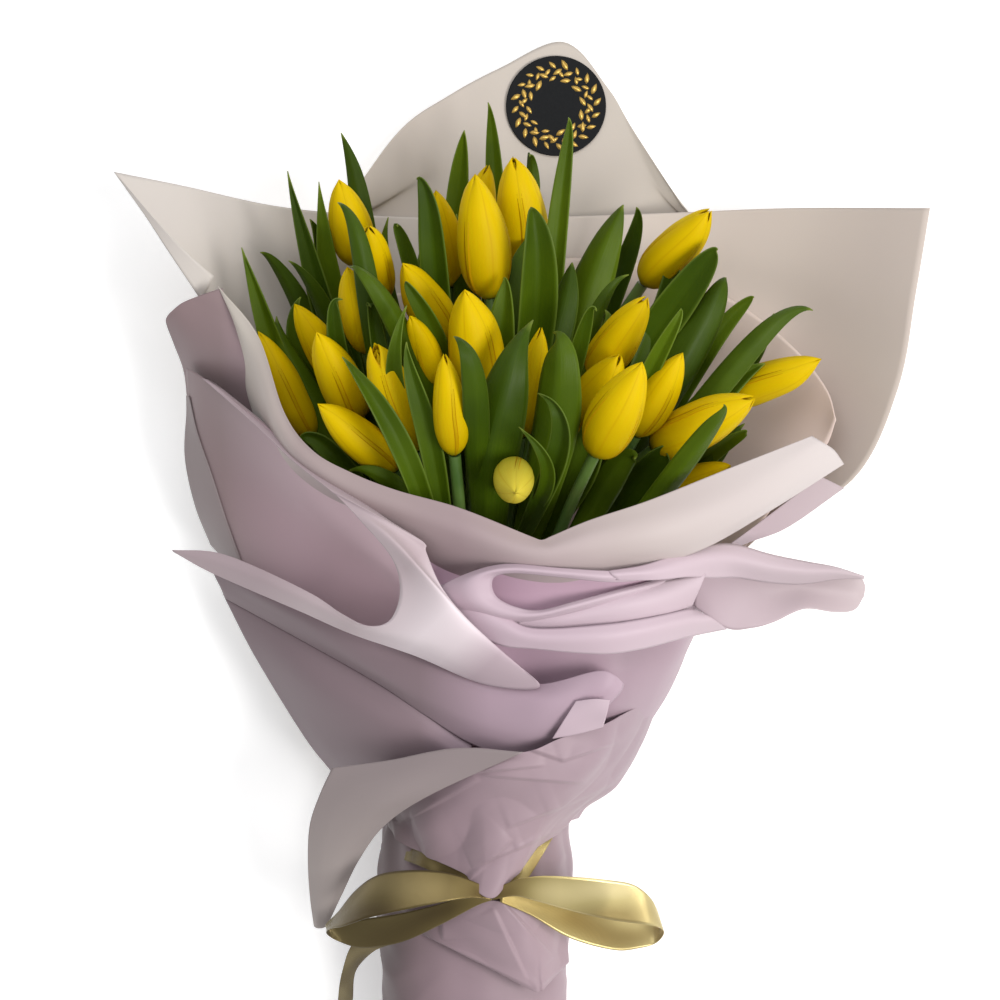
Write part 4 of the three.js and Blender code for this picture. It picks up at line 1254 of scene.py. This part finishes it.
# %% Gather
gather_grid = surface([
    [(-54, 118, 30), (-60, 117, 62), (-56, 117, 92), (-16, 126, 120), (12, 124, 128), (31, 131, 129),
     (51, 137, 123), (66, 145, 110), (80, 153, 84), (78, 152, 58), (64, 150, 28)],
    [(-52, 106, 26), (-60, 107, 54), (-58, 108, 84), (-30, 112, 111), (0, 113, 124), (25, 117, 127),
     (46, 121, 120), (61, 127, 103), (71, 128, 76), (68, 127, 50), (54, 126, 20)],
    [(-48, 96, 20), (-56, 97, 44), (-56, 98, 72), (-40, 99, 97), (-12, 99, 113), (15, 100, 118),
     (36, 103, 111), (51, 107, 94), (60, 107, 72), (57, 107, 44), (46, 107, 16)],
    [(-56, 92, 46), (-58, 92, 60), (-54, 90, 74), (-38, 84, 94), (-20, 79, 103), (2, 77, 108),
     (20, 83, 104),
     (33, 90, 92), (44, 96, 72), (44, 97, 50), (38, 98, 30)],
    [(-56, 90, 52), (-58, 89, 63), (-52, 80, 78), (-37, 71.5, 91), (-21, 63.5, 99), (-5, 51, 103),
     (7, 61, 101),
     (20, 73, 96), (32, 83, 84), (39, 89, 68), (40, 92, 50), (36, 94, 36)],
], 160, 220)
SMOOTH_COLUMNS = 40
rows, columns = gather_grid.shape[:2]
from_side = np.minimum(np.arange(columns), np.arange(columns)[::-1])
inward = np.clip(from_side / SMOOTH_COLUMNS, 0, 1)
closer = np.linspace(0.25, 1, rows)[:, None] * inward[None, :]
gather_grid = pleated(gather_grid[::-1], amount=1.8, count=7, seed=3, reach=0.7)[::-1]
gather_grid = crinkled(gather_grid, amount=2.6, size=24, seed=5, mask=closer, lean=32, stretch=2.8)
GATHER_FOLDS = [
    ((4, 129), (33, 119)), ((30, 119), (60, 129)), ((-30, 112), (22, 117)), ((-50, 88), (-10, 110)),
    ((-8, 112), (44, 108)), ((4, 86), (30, 96)), ((24, 93), (57, 108)), ((-14, 66), (12, 77)),
    ((8, 75), (43, 91)), ((-19, 56), (6, 80)), ((26, 80), (-3, 50)),
]
gather_grid = stepped(gather_grid, GATHER_FOLDS, depth=2.4, reach=9)
film_piece("gather", gather_grid, GATHER_FILM, "gathered", ["front_body"], "front_sheet")

flap_grid = surface([
    [(-93, 37, 46), (-91.5, 36, 48), (-89, 36, 48), (-86.5, 37, 48)],
    [(-95, 52, 58), (-90, 52, 62), (-84, 52, 63), (-79, 53, 60)],
    [(-96, 70, 72), (-88, 70, 78), (-79, 70, 80), (-70, 71, 76)],
    [(-95, 88, 84), (-84, 88, 92), (-70, 87, 97), (-57, 88, 96)],
    [(-90, 103, 92), (-72, 104, 104), (-54, 103, 112), (-34, 103, 115)],
    [(-84, 116, 96), (-55, 120, 110), (-22, 126, 124), (12, 124, 134)],
], 70, 60)
film_piece("flap", flap_grid, FLAP_FILM, "folded", ["gather"], "front_sheet")

# %% [markdown]
# ### The sleeve round the stems
# Below the tie the film closes into a loose tube round the stems. It is a ring of points at each of a few
# sections, flat where it lies on the table, with pleats that fan down from the ribbon. One edge of the
# film laps over it and ends in a blunt point.

# %% Sleeve
# y of each section, its left and right side, and its top
SLEEVE = [
    (-50, -57, 33, 66), (-10, -57, 32, 65), (20, -58, 32, 69), (45, -60, 34, 77), (66, -60, 35, 84),
    (92, -57, 33, 84), (116, -54, 38, 72),
]
SLEEVE_FLOOR = 2.0
SLEEVE_LOWEST = 0.6
SQUARENESS = 0.8
SMOOTH_BELOW = 12
SMOOTH_REACH = 25
SLEEVE_SIDES = 110
SLEEVE_STEPS = 90
sections = catmull(SLEEVE, np.linspace(0, len(SLEEVE) - 1, SLEEVE_STEPS))
angles = np.linspace(math.pi * 1.5, -math.pi * 0.5, SLEEVE_SIDES)
rounded_x = np.sign(np.cos(angles)) * np.abs(np.cos(angles)) ** SQUARENESS
rounded_z = np.sign(np.sin(angles)) * np.abs(np.sin(angles)) ** SQUARENESS
sleeve_grid = np.zeros((SLEEVE_STEPS, SLEEVE_SIDES, 3))
for row, (y, left, right, top) in enumerate(sections):
    sleeve_grid[row, :, 0] = (left + right) / 2 + (right - left) / 2 * rounded_x
    sleeve_grid[row, :, 1] = y
    sleeve_grid[row, :, 2] = SLEEVE_FLOOR + (top - SLEEVE_FLOOR) * (0.5 + 0.5 * rounded_z)
raised = np.clip((sleeve_grid[:, :, 2] - SMOOTH_BELOW) / SMOOTH_REACH, 0, 1)
sleeve_grid = pleated(sleeve_grid[::-1], amount=2.4, count=15, seed=11, reach=0.75)[::-1]
sleeve_grid = crinkled(sleeve_grid, amount=1.9, size=30, seed=6, mask=raised)
sleeve_grid[:, :, 2] = np.maximum(sleeve_grid[:, :, 2], SLEEVE_LOWEST)
film_piece("sleeve", sleeve_grid, GATHER_FILM, "gathered", ["ribbon_bow"], "stem_sleeve")

lap_grid = surface([
    [(-59, 62, 52), (-50, 60, 70), (-30, 56, 86), (-8, 50, 93), (12, 50, 90), (30, 54, 66)],
    [(-60, 50, 50), (-44, 42, 73), (-20, 34, 82), (4, 26, 86), (18, 28, 83), (33, 38, 62)],
    [(-60, 40, 46), (-36, 31, 74), (-8, 17, 79), (16, 4.8, 77), (20, 4.4, 76), (23, 6, 75), (34.5, 19, 58)],
], 90, 150)
LAP_FOLDS = [((27, 21), (0, 51)), ((-30, 44), (-29, 30)), ((14, 10), (-3, 46))]
LAP_HEM = [((-38, 32), (18, 5)), ((18, 5), (36, 20))]
lap_grid = crinkled(lap_grid, amount=0.7, size=18, seed=12, lean=-25, stretch=2.5)
lap_grid = stepped(lap_grid, LAP_FOLDS, depth=2.2, reach=8)
lap_grid = stepped(lap_grid, LAP_HEM, depth=2.0, reach=5)
film_piece("sleeve_lap", lap_grid, GATHER_FILM, "folded", ["sleeve"], "stem_sleeve")


# %% [markdown]
# ## The ribbon
# The bow is one satin ribbon: it comes up out of the band round the neck, makes a flat loop to each side
# and leaves a tail. Two short strands come round the sides of the neck to the knot. Each loop goes out
# over the top, turns over at its end and comes back underneath, a little lower down, so both layers show.
# The rows below are the two edges of the ribbon, step by step.

# %% Ribbon
RIBBON_THICK = 0.3
ribbons = {
    "right_loop": [
        [(-4, 55, 99), (-4, 50, 99)], [(8, 60, 106), (8, 52, 103)], [(20, 62, 109), (20, 49, 104)],
        [(37, 61.5, 110), (38, 44, 104)], [(54, 60, 108), (56, 40, 102)], [(67, 57.5, 102), (71, 38, 97)],
        [(76, 50, 94), (79, 36.5, 91)], [(80.5, 39, 85), (82, 33.5, 85)], [(80, 36, 77), (78, 28.5, 78)],
        [(73, 40, 73), (70, 26, 78)], [(58, 42, 74), (57, 25, 81)], [(40, 46, 80), (35, 31, 86)],
        [(20, 50, 88), (16, 42, 91)], [(0, 54, 95), (0, 49, 95)],
    ],
    "left_loop": [
        [(-4, 55, 100), (-4, 50, 100)], [(-15, 60, 104), (-14, 51, 106)], [(-28, 64, 104), (-28, 49, 109)],
        [(-45, 65, 101), (-48, 45, 108)], [(-61, 62.5, 95), (-66, 41, 102)], [(-72, 55, 88), (-78, 37, 94)],
        [(-81, 44, 81), (-85, 35.5, 84)], [(-87, 38, 77), (-86.5, 33, 77)], [(-85, 37, 74), (-80, 29, 74)],
        [(-72, 40, 77), (-68, 26, 76)], [(-52, 43, 84), (-49, 29, 83)], [(-34, 47, 92), (-29, 38, 90)],
        [(-14, 53, 98), (-12, 47, 96)], [(-4, 55, 99), (-4, 50, 98)],
    ],
    "tail": [
        [(-58, 38, 78), (-54, 28, 79)], [(-73, 29, 70), (-63.5, 24, 72)], [(-79, 14, 58), (-72, 14.5, 60)],
        [(-81, 0, 45), (-73.5, 1, 47)], [(-81, -12, 33), (-74, -11, 35)], [(-80, -24, 20), (-73, -24, 22)],
    ],
    "right_strand": [
        [(-2, 56, 99), (5, 52, 99)], [(6, 64, 97), (14, 61, 96)], [(13, 74, 93), (21, 72, 91)],
        [(19, 84, 87), (27, 82, 85)], [(24, 92, 78), (32, 89, 74)], [(29, 100, 56), (34, 94, 52)],
    ],
    "left_strand": [
        [(-8, 50, 99), (-10, 57, 99)], [(-22, 58, 95), (-22, 66, 95)], [(-38, 66, 88), (-37, 75, 87)],
        [(-48, 70, 78), (-45, 82, 76)],
    ],
}
for name, rows in ribbons.items():
    ribbon_grid = surface(rows, 120, 14)
    finish = (GOLD_SATIN, "ribbon", RIBBON_THICK)
    sheet_piece(f"ribbon_{name}", ribbon_grid, finish, "folded", ["gather"], "ribbon_bow")

# %% [markdown]
# ## The seal
# A round black paper seal is stuck to the corner of the back sheet. Its print is a plain wreath: small
# gold leaves round a ring. One leaf is drawn, and a Geometry Nodes tree sets it along a circle, turned to
# follow it, so the whole wreath comes from one shape and a handful of numbers.

# %% Seal disc
SEAL_WIDE = 52.0
SEAL_Z = 2.0
SEAL_THICK = 0.5
SEAL_STEPS = 96
SEAL_MIDDLE = in_line_of_sight(np.array([[(*SEAL_PLACE, SEAL_Z)]]))[0, 0]
# how far each ring is in from the rim, and its height
SEAL_RINGS = [(0.6, 0.0), (0.0, 0.12), (0.0, 0.35), (0.4, SEAL_THICK)]
turns = [2 * math.pi * step / SEAL_STEPS for step in range(SEAL_STEPS)]
disc = bmesh.new()
rings = []
for inset, level in SEAL_RINGS:
    reach = SEAL_WIDE / 2 - inset
    ring = [SEAL_MIDDLE + (reach * math.cos(turn), reach * math.sin(turn), level) for turn in turns]
    rings.append([disc.verts.new(placed(point)) for point in ring])
disc.faces.new(rings[0][::-1])
disc.faces.new(rings[-1])
for low, high in zip(rings, rings[1:]):
    for k in range(SEAL_STEPS):
        after = (k + 1) % SEAL_STEPS
        disc.faces.new((low[k], low[after], high[after], high[k]))
disc_mesh = bpy.data.meshes.new("seal_disc")
disc.to_mesh(disc_mesh)
disc.free()
seal_disc = bpy.data.objects.new("seal_disc", disc_mesh)
bpy.context.scene.collection.objects.link(seal_disc)
seal_disc.data.materials.append(SEAL_BLACK)
settle(seal_disc, "seal", "round_seal")
print("seal disc", SEAL_WIDE, "mm across")


# %% Wreath
def wreath_tree():
    tree, source, result = new_tree("wreath", [
        ("Leaf", "Object", None), ("Radius", "Float", 0.019), ("Count", "Int", 30),
        ("Lean", "Float", 0.5), ("Place", "Vector", (0, 0, 0)), ("Seed", "Int", 4),
        ("Skin", "Material", None),
    ])
    given = source.outputs
    ring = add(tree, "GeometryNodeCurvePrimitiveCircle", Radius=given["Radius"])
    spots = add(tree, "GeometryNodeCurveToPoints", Curve=ring.outputs[0], Count=given["Count"])
    leaf = add(tree, "GeometryNodeObjectInfo", Object=given["Leaf"])
    odd = maths(tree, "MODULO", add(tree, "GeometryNodeInputIndex").outputs[0], 2)
    lean = maths(tree, "MULTIPLY", maths(tree, "MULTIPLY_ADD", odd, 2, -1), given["Lean"])
    turn = add(tree, "ShaderNodeCombineXYZ", Z=lean)
    facing = add(tree, "FunctionNodeAlignRotationToVector", axis="Y", pivot_axis="Z",
                 Vector=spots.outputs["Tangent"])
    leaning = add(tree, "FunctionNodeRotateRotation", rotation_space="LOCAL", Rotation=facing.outputs[0],
                  Rotate_By=turn.outputs[0])
    size = add(tree, "FunctionNodeRandomValue", Seed=given["Seed"])
    feed(size.inputs[2], 0.75)
    feed(size.inputs[3], 1.2)
    leaves = add(tree, "GeometryNodeInstanceOnPoints", Points=spots.outputs["Points"],
                 Instance=leaf.outputs["Geometry"], Rotation=leaning.outputs[0], Scale=size.outputs[1])
    set_down = add(tree, "GeometryNodeTransform", Geometry=leaves.outputs[0], Translation=given["Place"])
    return dressed(tree, source, result, set_down.outputs[0])


WREATH_TREE = wreath_tree()
PRINT_THICK = 0.14
PRINT_SUNK = 0.03
LEAF_SHAPE = [(0, 0), (0.9, 1.2), (1.2, 2.6), (0.7, 4.2), (0, 5.4), (-0.7, 4.2), (-1.2, 2.6), (-0.9, 1.2)]
corners = [(x * MM, y * MM, level * MM) for level in (0, PRINT_THICK) for x, y in LEAF_SHAPE]
count = len(LEAF_SHAPE)
faces = [tuple(range(count))[::-1], tuple(range(count, 2 * count))]
faces += [(k, (k + 1) % count, (k + 1) % count + count, k + count) for k in range(count)]
leaf_shape = mesh_object("wreath_leaf", corners, faces)
SEAL_TOP = placed((*SEAL_MIDDLE[:2], SEAL_Z + SEAL_THICK - PRINT_SUNK))
wreaths = []
for radius, number, lean in ((19.5, 40, 0.75), (15.4, 24, -0.6)):
    wreaths.append(grown("wreath_ring", WREATH_TREE, {
        "Leaf": leaf_shape, "Radius": radius * MM, "Count": number, "Lean": lean, "Place": list(SEAL_TOP),
        "Skin": SEAL_GOLD,
    }))
bpy.data.objects.remove(leaf_shape)
wreath = joined("seal_wreath", wreaths)
settle(wreath, "seal", "round_seal")
print("wreath of", len(wreath.data.polygons), "faces")
